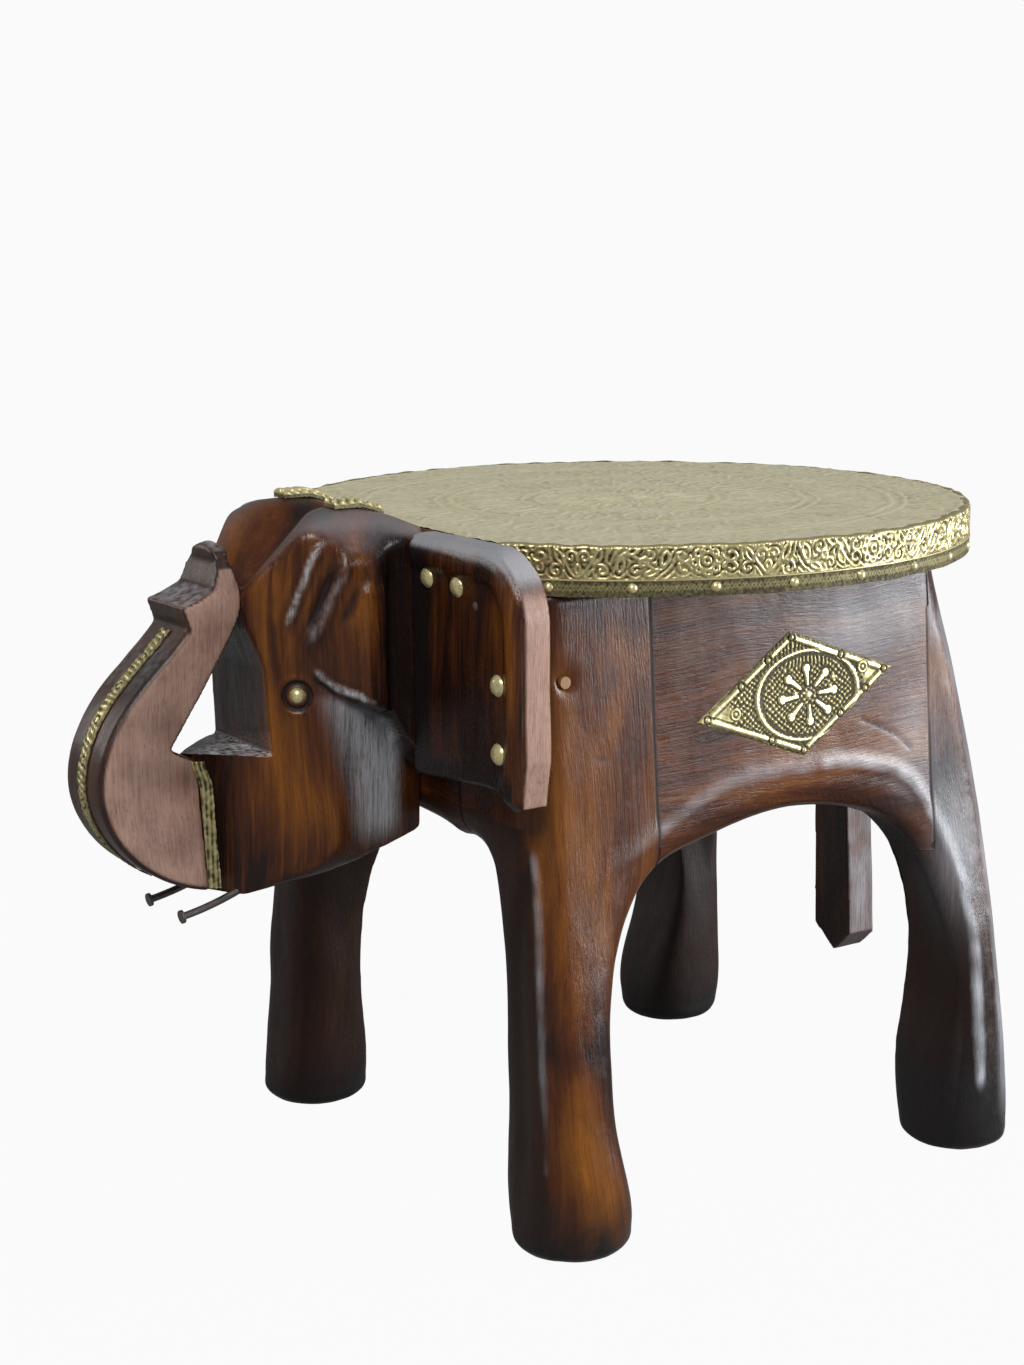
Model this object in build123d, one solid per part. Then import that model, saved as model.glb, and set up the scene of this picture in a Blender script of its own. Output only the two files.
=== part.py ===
from build123d import *
import os
from math import acos, asin, cos, degrees, radians, sin, sqrt

# Carved elephant stool: a dowelled wooden body in the shape of an elephant with a round, brass-clad seat.
# Millimetres, +Z up. The elephant faces -Y and its left flank is +X. Pieces are modelled about the seat's
# axis at floor level and moved along Y as they are written, so that the whole stool is centred on Z.

# ---------------------------------------------------------------- driving dimensions
# Seat
seat_radius = 150.0
seat_height = 287.2           # floor to the top of the brass sheet
seat_edge = 20.1              # full thickness of the seat with its brass
seat_flat_y = -123.0          # the disc is cut off here, where head and ears stand
sheet_thickness = 0.6
band_thickness = 0.7
band_height = 13.1            # embossed rim band, from the seat's top edge down
tack_radius = 2.0
tack_rise = 1.2
tack_corner_gap = 7.6         # degrees from the flat's corner to the first tack
tack_gaps_per_side = 11
tack_shank_radius = 0.6
tack_shank_length = 5.0

# Body blocks
joint_front_y = -63.0         # front leg block to flank panel
joint_rear_y = 84.0           # rear leg block to flank panel
joint_side_x = 55.0           # leg block to chest or rump panel
panel_inner_x = 72.0          # inner face of the flank panels
side_roll = 10.0              # rounding of the side arches' outer edges
end_roll = 14.0               # rounding of the front and rear arches' outer edges
leg_top = 138.0               # above this the flank panels part the legs
foot_x = 107.0
foot_y = 105.0
foot_radius = 25.5
foot_round = 9.0              # rounding of the feet at the floor

# Outline of the body, as (height, distance) stations: flank from the middle plane, front and rear from the axis
flank_stations = ((0, 132.0), (30, 129.3), (60, 125.3), (90, 121.5), (125, 115.5), (150, 111.5),
                  (175, 108.8), (220, 105.8), (268, 103.0))
front_stations = ((0, 130.0), (30, 126.5), (60, 124.5), (100, 123.5), (145, 123.0), (200, 123.0), (268, 123.0))
rear_stations = ((0, 128.5), (40, 126.0), (70, 123.5), (120, 121.8), (150, 120.0), (176, 116.5),
                 (217, 108.8), (250, 101.0), (268, 98.0))
corner_stations = ((0, 15.5), (30, 12.0), (70, 9.5), (150, 9.5), (200, 11.0), (268, 14.0))
body_levels = (0, 15, 30, 45, 60, 80, 100, 120, 140, 160, 180, 200, 220, 243, 265, 290)   # heights of sections

# Inner lines of the legs and the arches between them: rear to front as (y, z), and side to middle as (x, z)
side_arch_points = ((80, -2), (82, 12), (86, 36), (92, 66), (91, 95), (83, 122), (73, 142), (60, 154),
                    (38, 161.5), (12, 165), (-14, 163), (-40, 157.5), (-60, 151), (-73, 139), (-83, 120),
                    (-89, 98), (-91, 72), (-88, 38), (-83, 12), (-81, -2))
end_arch_points = ((83, -2), (82.5, 12), (81, 40), (80, 70), (79.5, 97), (77, 122), (72, 143), (63, 157),
                   (48, 166), (26, 170), (0, 171))

# Head
neck_half_width = 40.0
neck_length = 24.0            # from the chest to where the head widens
head_half_width = 48.0
face_y = -192.0               # flat front of the face above the jaw
face_half_width = 26.0
chin_y = -205.0               # front end of the jaw's lowest line
crown_rise = 10.3             # crown above the seat's top
jaw_ledge_drop = 86.2         # jaw ledge below the seat's top
jaw_bottom_drop = 140.4       # underside of the jaw below the seat's top
throat_rise = 22.2            # underside of the neck above that of the jaw
crown_x = 21.0                # middle of each crown dome
crown_groove_depth = 12.0
crown_groove_ends = ((-161.0, 7.5), (-190.0, 34.5))   # as (y, depth below the crown)
eye_share = 0.25              # height of the eye, as a share of the way from ledge to crown
eye_setback = 10.0            # along the cheek facet from the face's corner
eye_radius = 3.3
eye_rise = 2.0

# Trunk, a board parted from the jaw by a leaning joint
trunk_half_width = 17.0
trunk_reach = 263.0           # from the seat's axis to the front of the trunk
seam_top_y = -221.5
seam_bottom_y = -217.5
trunk_tip_drop = 1.7          # trunk's tip below the seat's top
trunk_edge = 2.0

# Brass strips on trunk and head
strip_thickness = 0.6         # out to the strips' faces
strip_gap = 0.15              # left under the belly strip
trunk_strip_width = 12.0
trunk_strip_start = 0.02      # ends of the strip, as shares of the belly line
trunk_strip_end = 0.86
trunk_strip_spans = 14
seam_strip_width = 7.0
crown_strip_length = 23.0
crown_strip_width = 9.0
crown_strip_thickness = 1.6
crown_strip_y = -150.0

# Ears
ear_thickness = 15.0
ear_overhang = 28.0           # seat's radius beyond the ear's outer edge
ear_drop = 100.2              # ear's lowest corner below the seat's top
ear_corner_radius = 28.0
ear_border = 12.0
ear_recess = 2.5
ear_edge = 2.5
stud_radius = 4.35
stud_rise = 2.4
stud_shank_radius = 1.2
stud_shank_length = 10.0
ear_stud_places = ((0.427, 0.828), (0.159, 0.838), (0.768, 0.479), (0.768, 0.21))   # shares of width and height
ear_nail_place = (0.585, 0.768)
nail_radius = 1.1
nail_head_radius = 1.8
nail_head_rise = 0.6
nail_length = 28.0

# Tusks: bent nails, as (y, height above the jaw's underside) of the buried end, the bend and the head
tusk_x = 15.0
tusk_points = ((-184, 7.7), (-206, -2.8), (-229, -8.8))
tusk_radius = 1.5
tusk_head_radius = 2.75
tusk_head_thickness = 1.2

# Tail
tail_half_width = 12.7
tail_top_half_width = 10.5
tail_depth = 18.0
tail_tip_height = 57.0
tail_shoulder_height = 68.0
tail_wide_height = 80.0
tail_top_share = 0.468        # up the body
tail_edge = 3.5

# Plaque on each flank
plaque_y = 10.5
plaque_length = 106.0
plaque_width = 53.5
plaque_tilt = 6.4
plaque_thickness = 0.8
pin_radius = 1.2
pin_rise = 0.8
pin_shank_radius = 0.5
pin_shank_length = 8.0
pin_inset = 0.9               # corner pins, as a share of the way out from the middle
pin_places = ((0, 0.4, 0.72), (0, 0.53), (0, 0.24, 0.55), (0, 0.34))   # along each side in turn

# Dowels, pegs and screws. A share up the body runs from the end arches' crest to the seat board.
dowel_radius = 4.0
dowel_half_length = 16.0
dowel_shares = (0.146, 0.562)
thin_block_reach = 11.0       # dowel length in the thin rear leg blocks
end_dowel_setback = 10.5      # rear dowels, from the flank joint's plane
head_dowel_radius = 6.0
head_dowel_half_length = 26.0
head_dowel_places = ((22, 0.302), (22, 0.822))   # (x, share up the body)
trunk_dowel_half_length = 14.0
trunk_dowel_share = 0.52      # from the jaw's underside up to its ledge
tail_peg_radius = 3.0
tail_peg_shares = (0.073, 0.302)
tail_peg_half_length = 12.0
shoulder_peg_radius = 2.4
shoulder_peg_length = 30.0
shoulder_peg_place = (-105.0, 0.645)
screw_radius = 2.2
screw_head_radius = 4.4
screw_length = 40.0
screw_places = ((88, -95), (88, 10), (88, 91), (-88, -95), (-88, 10), (-88, 91), (0, -95), (0, 91))

# ---------------------------------------------------------------- derived places
board_bottom = seat_height - seat_edge
board_top = seat_height - sheet_thickness
board_radius = seat_radius - band_thickness
strip_top = seat_height - band_height
crown_height = seat_height + crown_rise
jaw_ledge_height = seat_height - jaw_ledge_drop
jaw_bottom_height = seat_height - jaw_bottom_drop
trunk_tip_height = seat_height - trunk_tip_drop
eye_height = jaw_ledge_height + eye_share * (crown_height - jaw_ledge_height)
trunk_dowel_height = jaw_bottom_height + trunk_dowel_share * (jaw_ledge_height - jaw_bottom_height)
side_crest = max(z for y, z in side_arch_points)
end_crest = end_arch_points[-1][1]
plaque_height = (side_crest + board_bottom) / 2 - 1
ear_front_y = seat_flat_y - ear_thickness
ear_outer_x = seat_radius - ear_overhang
ear_bottom_height = seat_height - ear_drop
flank_dowel_x = (panel_inner_x + flank_stations[-1][1]) / 2
end_dowel_y = (seat_flat_y + joint_front_y) / 2
head_rear_y = seat_flat_y - neck_length
tack_first_angle = degrees(acos(-seat_flat_y / seat_radius)) + tack_corner_gap   # from the middle of the flat
axis_y = (trunk_reach + strip_thickness - seat_radius - tack_rise) / 2
beyond = 400.0                # longer than the stool in any direction


def up_body(share):
    return end_crest + share * (board_bottom - end_crest)


def between(low, high, stations):
    """Points (y, z) from stations of y and the share of the way from low to high."""
    return tuple((y, low + share * (high - low)) for y, share in stations)


tail_top_height = up_body(tail_top_share)
face_points = between(jaw_ledge_height, crown_height,
                      ((face_y, 0), (face_y - 2, 0.352), (-199, 0.528), (-200.5, 0.663), (-195.5, 0.767),
                       (-188, 0.839), (-181, 0.933), (-173, 1), (-150, 1), (-139, 0.964)))
head_side_points = ((seat_flat_y, jaw_bottom_height + throat_rise),
                    (head_rear_y, jaw_bottom_height + 0.6 * throat_rise), (chin_y, jaw_bottom_height),
                    (seam_bottom_y, jaw_bottom_height), (seam_top_y, jaw_ledge_height), *face_points,
                    (seat_flat_y, seat_height))
head_plan_points = ((neck_half_width, seat_flat_y), (neck_half_width, head_rear_y),
                    (head_half_width, head_rear_y - 5), (head_half_width, head_rear_y - 13),
                    (face_half_width, face_y), (trunk_half_width, seam_top_y))
head_front_points = ((19, jaw_bottom_height - 1), (33, jaw_bottom_height + 11), (44, jaw_bottom_height + 25),
                     (head_half_width, jaw_bottom_height + 41), (head_half_width, crown_height - 31.5),
                     (43, crown_height - 16.5), (35, crown_height - 6), (crown_x + 4, crown_height),
                     (crown_x - 4, crown_height), (8, crown_height - 2.5), (0, crown_height - 7.5))
trunk_swell = trunk_reach + seam_top_y
belly_stations = ((0.024, 0.773), (0.18, 0.722), (0.52, 0.625), (0.81, 0.52), (0.976, 0.405), (1, 0.312),
                  (0.904, 0.214), (0.687, 0.124), (0.35, 0.048))   # (share of the swell, share of the height)
trunk_front_points = between(jaw_bottom_height, trunk_tip_height,
                             [(seam_top_y - out * trunk_swell, share) for out, share in belly_stations]
                             + [(seam_bottom_y, 0)])
trunk_back_points = between(jaw_ledge_height, trunk_tip_height,
                            ((seam_top_y - 0.265 * trunk_swell, 0.065), (-219.4, 0.289), (-206.3, 0.536),
                             (-200, 0.692), (-199.6, 0.775), (-201.2, 0.864), (-202.6, 0.93)))


# ---------------------------------------------------------------- ways of making solids
def along(stations, height):
    """Smooth value at a height through (height, value) stations."""
    last = len(stations) - 1
    index = max(i for i in range(last) if i == 0 or stations[i][0] <= height)
    before, start = stations[max(index - 1, 0)], stations[index]
    end, after = stations[index + 1], stations[min(index + 2, last)]
    span = end[0] - start[0]
    t = (height - start[0]) / span
    slope_in = (end[1] - before[1]) / (end[0] - before[0]) * span
    slope_out = (after[1] - start[1]) / (after[0] - start[0]) * span
    return ((2 * t ** 3 - 3 * t ** 2 + 1) * start[1] + (t ** 3 - 2 * t ** 2 + t) * slope_in
            + (3 * t ** 2 - 2 * t ** 3) * end[1] + (t ** 3 - t ** 2) * slope_out)


def outline(points):
    """Face inside a closed polygon."""
    return make_face(Polyline(*points, close=True))


def arched(points):
    """Face between a smooth line of points and the straight line that closes it."""
    return make_face([Spline(*points), Line(points[-1], points[0])])


def both_sides(points):
    """A half line or outline, carried on by its mirror image over x = 0."""
    return tuple(points) + tuple((-x, other) for x, other in reversed(points) if x > 0)


def side_prism(face, half_width=beyond):
    """Extrude a (y, z) face across the stool."""
    return extrude(Plane.YZ * face, half_width, both=True)


def end_prism(face, back_y=beyond, depth=2 * beyond):
    """Extrude an (x, z) face forwards from back_y."""
    return extrude(Plane((0, back_y, 0), x_dir=(1, 0, 0), z_dir=(0, -1, 0)) * face, depth)


def rod(start, direction, radius, length):
    """Cylinder from a point along a direction."""
    return extrude(Plane(start, z_dir=direction) * Circle(radius), length)


def block(x_range, y_range, z_range=(-beyond, beyond)):
    """Box between two x, two y and two z values."""
    sizes = [high - low for low, high in (x_range, y_range, z_range)]
    middle = [(high + low) / 2 for low, high in (x_range, y_range, z_range)]
    return Pos(*middle) * Box(*sizes)


def stud(place, direction, radius, rise, shank_radius, shank_length):
    """Nail with a domed head that sits at a place and faces a direction."""
    sphere_radius = (radius ** 2 + rise ** 2) / (2 * rise)
    half_angle = asin(radius / sphere_radius) / 2
    middle = (sphere_radius * sin(half_angle), sphere_radius * cos(half_angle) - sphere_radius + rise)
    profile = make_face([ThreePointArc((radius, 0), middle, (0, rise)),
                         Polyline((0, rise), (0, -shank_length), (shank_radius, -shank_length),
                                  (shank_radius, 0), (radius, 0))])
    return Plane(place, z_dir=direction).location * revolve(Plane.XZ * profile, Axis.Z)


def mirrored(shape):
    """The same piece on the other side of the stool."""
    return mirror(shape, about=Plane.YZ)


def pair(make, *arguments):
    """A shape for the left side and its mirror image for the right."""
    left = make(*arguments)
    return {"left": left, "right": mirrored(left)}


# ---------------------------------------------------------------- body
def body_section(height, grow):
    side = along(flank_stations, height) + grow
    front = -along(front_stations, height)
    rear = along(rear_stations, height)
    corner = along(corner_stations, height)
    half = ((side - corner, front), (side, front + corner), (side, rear - corner), (side - corner, rear))
    return Pos(0, 0, height) * outline(both_sides(half))


def body_outside(grow=0.0):
    """Outside of body and legs before the arches are cut."""
    levels = [height for height in body_levels if height < board_bottom - side_roll]
    return loft([body_section(height, grow) for height in levels + [board_bottom]])


def planed(form):
    """The form cut flat where head and ears are joined on."""
    return form - block((-beyond, beyond), (-beyond, seat_flat_y), (leg_top, beyond))


def arch_rims(carved, side):
    """Outer edges of the side arches, or of the end arches: they start and end at the floor."""
    rims = [edge for edge in carved.edges() if max((edge @ 0).Z, (edge @ 1).Z) < 1 < edge.center().Z]
    if side:
        return [edge for edge in rims if abs(edge.center().X) > joint_side_x]
    return [edge for edge in rims if abs(edge.center().Y) > joint_rear_y]


def carved_body():
    """Body and legs as one carving, with arches, rolled edges and the hollow under the seat."""
    carved = body_outside() - side_prism(arched(side_arch_points))
    carved -= end_prism(arched(both_sides(end_arch_points)))
    carved = fillet(arch_rims(carved, side=True), side_roll)
    carved = fillet(arch_rims(carved, side=False), end_roll)
    hollow = block((-panel_inner_x, panel_inner_x), (joint_front_y, joint_rear_y), (0, beyond))
    return planed(carved) - hollow


def turned_foot():
    """Solid of revolution that rounds a foot off and lets the leg above it through."""
    ankle, calf, knee = 2.5 * foot_round, 5 * foot_round, 9 * foot_round
    profile = make_face([Polyline((0, -1), (foot_radius - foot_round, -1), (foot_radius - foot_round, 0)),
                         ThreePointArc((foot_radius - foot_round, 0),
                                       (foot_radius - foot_round * (1 - sqrt(0.5)), foot_round * (1 - sqrt(0.5))),
                                       (foot_radius, foot_round)),
                         Polyline((foot_radius, foot_round), (foot_radius + 2, ankle), (foot_radius + 8, calf),
                                  (2 * foot_radius, knee), (beyond, knee + 1), (beyond, beyond), (0, beyond),
                                  (0, -1))])
    return revolve(Plane.XZ * profile, Axis.Z)


def leg(carved, y_range, foot_place_y):
    """Leg block, from its foot up to the seat."""
    low_range = (min(y_range[0], 0), max(y_range[1], 0))
    upper = carved & block((joint_side_x, beyond), y_range)
    lower = carved & block((joint_side_x, beyond), low_range, (-1, leg_top))
    return (upper + lower) & (Pos(foot_x, foot_place_y, 0) * turned_foot())


def flank_dowel(joint_y, front_reach, rear_reach, height):
    return rod((flank_dowel_x, joint_y - front_reach, height), (0, 1, 0), dowel_radius, front_reach + rear_reach)


def end_dowel(place_y, height):
    return rod((joint_side_x - dowel_half_length, place_y, height), (1, 0, 0), dowel_radius,
               2 * dowel_half_length)


def body_dowels():
    """Dowels across the glued joints on the left side, by the joint that they cross."""
    front = [flank_dowel(joint_front_y, dowel_half_length, dowel_half_length, z) for z in map(up_body, dowel_shares)]
    rear = [flank_dowel(joint_rear_y, dowel_half_length, thin_block_reach, z) for z in map(up_body, dowel_shares)]
    chest = [end_dowel(end_dowel_y, z) for z in map(up_body, dowel_shares)]
    rump = [end_dowel(joint_rear_y + end_dowel_setback, z) for z in map(up_body, dowel_shares)]
    return {"front_joint_dowels": front, "rear_joint_dowels": rear, "chest_dowels": chest, "rump_dowels": rump}


def shoulder_peg(form):
    y, share = shoulder_peg_place
    z = up_body(share)
    flank = along(flank_stations, z)
    return rod((flank - shoulder_peg_length, y, z), (1, 0, 0), shoulder_peg_radius, 2 * shoulder_peg_length) & form


# ---------------------------------------------------------------- head
def head_plan(grow=0.0):
    face = outline(both_sides(head_plan_points))
    if grow:
        face = offset(face, grow, kind=Kind.INTERSECTION)
    return extrude(face, beyond)


def head_form():
    """Side, plan and front outlines of the head met together, with the groove between the crown domes."""
    solid = side_prism(outline(head_side_points)) & head_plan()
    solid &= end_prism(outline(both_sides(head_front_points)))
    (top_y, top_depth), (bottom_y, bottom_depth) = crown_groove_ends
    wedge = outline(((0, 0), (2 * crown_x, 2 * crown_groove_depth), (-2 * crown_x, 2 * crown_groove_depth)))
    plane = Plane((0, top_y, crown_height - top_depth), x_dir=(1, 0, 0),
                  z_dir=(0, bottom_y - top_y, top_depth - bottom_depth))
    return solid - extrude(plane * wedge, 2 * crown_x, both=True)


def cheek_direction():
    """Along the facet from the face's corner back to the widest part of the head, and its outward normal."""
    run_x = head_half_width - face_half_width
    run_y = head_rear_y - 13 - face_y
    length = sqrt(run_x ** 2 + run_y ** 2)
    return (run_x / length, run_y / length), (run_y / length, -run_x / length, 0)


def eye_stud():
    (step_x, step_y), normal = cheek_direction()
    place = (face_half_width + eye_setback * step_x, face_y + eye_setback * step_y, eye_height)
    return stud(place, normal, eye_radius, eye_rise, stud_shank_radius, stud_shank_length)


def crown_strip(head):
    """Short brass strip bent over one crown dome."""
    plan = Pos(crown_x, crown_strip_y, 0) * Rectangle(crown_strip_width, crown_strip_length)
    return (extrude(plan, beyond) & Pos(0, 0, crown_strip_thickness) * head) - head


def head_dowel(place):
    x, share = place
    return rod((x, seat_flat_y - head_dowel_half_length, up_body(share)), (0, 1, 0), head_dowel_radius,
               2 * head_dowel_half_length)


# ---------------------------------------------------------------- trunk, tusks
def trunk_side_face():
    """Outline of the trunk board: belly, joint with the jaw, inner curve, tip, scoop and lip."""
    lip, tip_rear = trunk_front_points[0], trunk_back_points[-1]
    tip_front = (tip_rear[0] - 4.6, tip_rear[1])
    scoop = (tip_front[0] - 3.4, tip_front[1] - 10.6)
    lip_point = (lip[0] - 3, lip[1] + 8.5)
    floor = ((scoop[0] + lip_point[0]) / 2, (scoop[1] + lip_point[1]) / 2 - 0.8)
    return make_face([Spline(*trunk_front_points),
                      Polyline(trunk_front_points[-1], (seam_top_y, jaw_ledge_height),
                               (seam_top_y - 0.12 * trunk_swell, jaw_ledge_height + 2), trunk_back_points[0]),
                      Spline(*trunk_back_points),
                      ThreePointArc(tip_rear, ((tip_rear[0] + tip_front[0]) / 2, trunk_tip_height), tip_front),
                      Line(tip_front, scoop),
                      ThreePointArc(scoop, floor, lip_point),
                      Line(lip_point, lip)])


def trunk_form():
    """Trunk board with a tip that is rounded across."""
    shoulder = trunk_tip_height - 22
    half_front = ((trunk_half_width, 0), (trunk_half_width, shoulder), (14.5, shoulder + 12),
                  (9, shoulder + 19), (0, trunk_tip_height + 0.5))
    solid = side_prism(trunk_side_face(), trunk_half_width) & end_prism(outline(both_sides(half_front)))
    belly_edges = [edge for edge in solid.edges()
                   if edge.length > 100 and edge.center().Y < seam_top_y - trunk_swell / 3]
    return chamfer(belly_edges, trunk_edge)


def trunk_strip():
    """Brass strip along the middle of the trunk's belly."""
    belly = Spline(*trunk_front_points).trim(trunk_strip_start, trunk_strip_end)
    shares = [index / trunk_strip_spans for index in range(trunk_strip_spans + 1)]
    inner = [belly @ share - belly_inward(belly, share) * strip_gap for share in shares]
    outer = [belly @ share - belly_inward(belly, share) * strip_thickness for share in shares]
    skin = make_face([Spline(*inner), Line(inner[-1], outer[-1]), Spline(*outer), Line(outer[0], inner[0])])
    return side_prism(skin, trunk_strip_width / 2)


def belly_inward(line, share):
    """Direction into the trunk, square to a line on its belly."""
    return (line % share).rotate(Axis.Z, 90)


def seam_strip():
    """Brass strip on the jaw beside its joint with the trunk."""
    band = outline(((seam_bottom_y, jaw_bottom_height), (seam_top_y, jaw_ledge_height),
                    (seam_top_y + seam_strip_width, jaw_ledge_height),
                    (seam_bottom_y + seam_strip_width, jaw_bottom_height)))
    return (extrude(Plane.YZ * band, beyond) & head_plan(strip_thickness)) - head_plan()


def trunk_dowel():
    middle = (seam_top_y + seam_bottom_y) / 2
    return rod((0, middle - trunk_dowel_half_length, trunk_dowel_height), (0, 1, 0), dowel_radius,
               2 * trunk_dowel_half_length)


def tusk():
    """Bent nail, buried in the jaw at one end and with its head at the other."""
    start, bend, end = [(tusk_x, y, jaw_bottom_height + rise) for y, rise in tusk_points]
    path = ThreePointArc(start, bend, end)
    shank = sweep(Plane(start, z_dir=path % 0) * Circle(tusk_radius), path=path)
    return shank + rod(end, path % 1, tusk_head_radius, tusk_head_thickness)


# ---------------------------------------------------------------- ears
def ear_face(inset=0.0):
    """Outline of the left ear, or the outline set in from its free edges."""
    top, outer = seat_height - inset, ear_outer_x - inset
    radius = ear_corner_radius - inset
    turn = radius * (1 - sqrt(0.5))
    inner = neck_half_width - inset
    return make_face([Line((inner, top), (outer - radius, top)),
                      ThreePointArc((outer - radius, top), (outer - turn, top - turn), (outer, top - radius)),
                      Polyline((outer, top - radius), (outer, ear_bottom_height + 20 + inset / 2),
                               (outer - 3, ear_bottom_height + 2 + inset),
                               (ear_outer_x - 9 - inset / 2, ear_bottom_height + inset),
                               (ear_outer_x - 22, ear_bottom_height + 6.4 + inset),
                               (ear_outer_x - 52, ear_bottom_height + 4.5 + inset),
                               (inner, ear_bottom_height + 2 + inset), (inner, top))])


def on_ear(place):
    """(x, z) at shares of the ear's width and height."""
    across, up = place
    return neck_half_width + across * (ear_outer_x - neck_half_width), ear_bottom_height + up * ear_drop


def ear_form():
    """Ear board with a raised border round its free edges."""
    board = end_prism(ear_face(), seat_flat_y, ear_thickness)
    front_rim = [edge for edge in board.edges() if edge.center().Y < ear_front_y + 0.01
                 and edge.center().X > neck_half_width + 1]
    board = chamfer(front_rim, ear_edge)
    recess = end_prism(ear_face(ear_border), ear_front_y + ear_recess, ear_thickness)
    return board - (recess & block((neck_half_width, beyond), (-beyond, beyond)))


def ear_stud(place):
    x, z = on_ear(place)
    return stud((x, ear_front_y + ear_recess, z), (0, -1, 0), stud_radius, stud_rise, stud_shank_radius,
                stud_shank_length)


def ear_nail():
    x, z = on_ear(ear_nail_place)
    return stud((x, ear_front_y + ear_recess, z), (0, -1, 0), nail_head_radius, nail_head_rise, nail_radius,
                nail_length)


# ---------------------------------------------------------------- tail
def tail_section(height):
    """Section of the tail, with its two rear corners taken off; its front runs into the rump."""
    share = (height - tail_wide_height) / (tail_top_height - tail_wide_height)
    half = tail_half_width + max(share, 0) * (tail_top_half_width - tail_half_width)
    rump = along(rear_stations, height)
    back = rump + tail_depth
    corners = ((half - tail_edge, back), (half, back - tail_edge), (half, rump - tail_depth))
    return Pos(0, 0, height) * outline(both_sides(corners))


def tail_form(form):
    """Faceted post that lies against the rump, with a pointed lower end."""
    middle = [height for height in body_levels if tail_wide_height + 5 < height < tail_top_height - 5]
    heights = [tail_tip_height, tail_wide_height] + middle + [tail_top_height]
    post = loft([tail_section(height) for height in heights], ruled=True)
    pointed = outline(both_sides(((0, tail_tip_height), (tail_half_width, tail_shoulder_height),
                                  (tail_half_width, tail_top_height), (0, tail_top_height))))
    return (post & end_prism(pointed)) - form


def tail_peg(share):
    height = up_body(share)
    rump = along(rear_stations, height)
    return rod((0, rump - tail_peg_half_length, height), (0, 1, 0), tail_peg_radius, 2 * tail_peg_half_length)


# ---------------------------------------------------------------- plaques
def plaque_corners(share=1.0):
    """Corners of the diamond, or of one shrunk about its middle: front, top, rear, bottom."""
    half_length, half_width = share * plaque_length / 2, share * plaque_width / 2
    lean = radians(plaque_tilt)
    flat = ((-half_length, 0), (0, half_width), (half_length, 0), (0, -half_width))
    return [(plaque_y + a * cos(lean) - b * sin(lean), plaque_height + a * sin(lean) + b * cos(lean))
            for a, b in flat]


def plaque(form):
    """Thin brass diamond that follows the flank."""
    prism = extrude(Plane.YZ * outline(plaque_corners()), beyond)
    return (prism & planed(body_outside(plaque_thickness))) - form


def plaque_pins():
    """Domed pins along the plaque's border."""
    corners = plaque_corners(pin_inset)
    pins = []
    for side, shares in enumerate(pin_places):
        (y0, z0), (y1, z1) = corners[side], corners[(side + 1) % len(corners)]
        for share in shares:
            y, z = y0 + share * (y1 - y0), z0 + share * (z1 - z0)
            place = (along(flank_stations, z) + plaque_thickness, y, z)
            pins.append(stud(place, (1, 0, 0), pin_radius, pin_rise, pin_shank_radius, pin_shank_length))
    return pins


# ---------------------------------------------------------------- seat
def seat_disc(radius, low, high):
    """Round slab with the flat at its front."""
    disc = extrude(Pos(0, 0, low) * Circle(radius), high - low)
    return disc & block((-beyond, beyond), (seat_flat_y, beyond))


def seat_screw(place):
    """Countersunk wood screw, its head level with the board's top."""
    x, y = place
    profile = outline(((0, 0), (screw_head_radius, 0), (screw_radius, screw_radius - screw_head_radius),
                       (screw_radius, -screw_length), (0, -screw_length)))
    return Pos(x, y, board_top) * revolve(Plane.XZ * profile, Axis.Z)


def rim_tacks():
    """Tacks that hold the trim strip, evenly spaced round the curved edge."""
    step = (180 - tack_first_angle) / tack_gaps_per_side
    middle = [tack_first_angle + step * index for index in range(2 * tack_gaps_per_side + 1)]
    height = (board_bottom + strip_top) / 2
    tacks = []
    for angle in middle:
        outward = (sin(radians(angle)), -cos(radians(angle)), 0)
        place = (seat_radius * outward[0], seat_radius * outward[1], height)
        tacks.append(stud(place, outward, tack_radius, tack_rise, tack_shank_radius, tack_shank_length))
    return tacks


# ---------------------------------------------------------------- assembly
def joined(shapes):
    """Separate solids of one node."""
    return Compound([solid for shape in shapes for solid in shape.solids()])


def cut(shape, tools):
    """A piece with room for the pegs, pins and screws that pass into it."""
    for tool in tools:
        shape = shape - tool
    return shape


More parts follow.
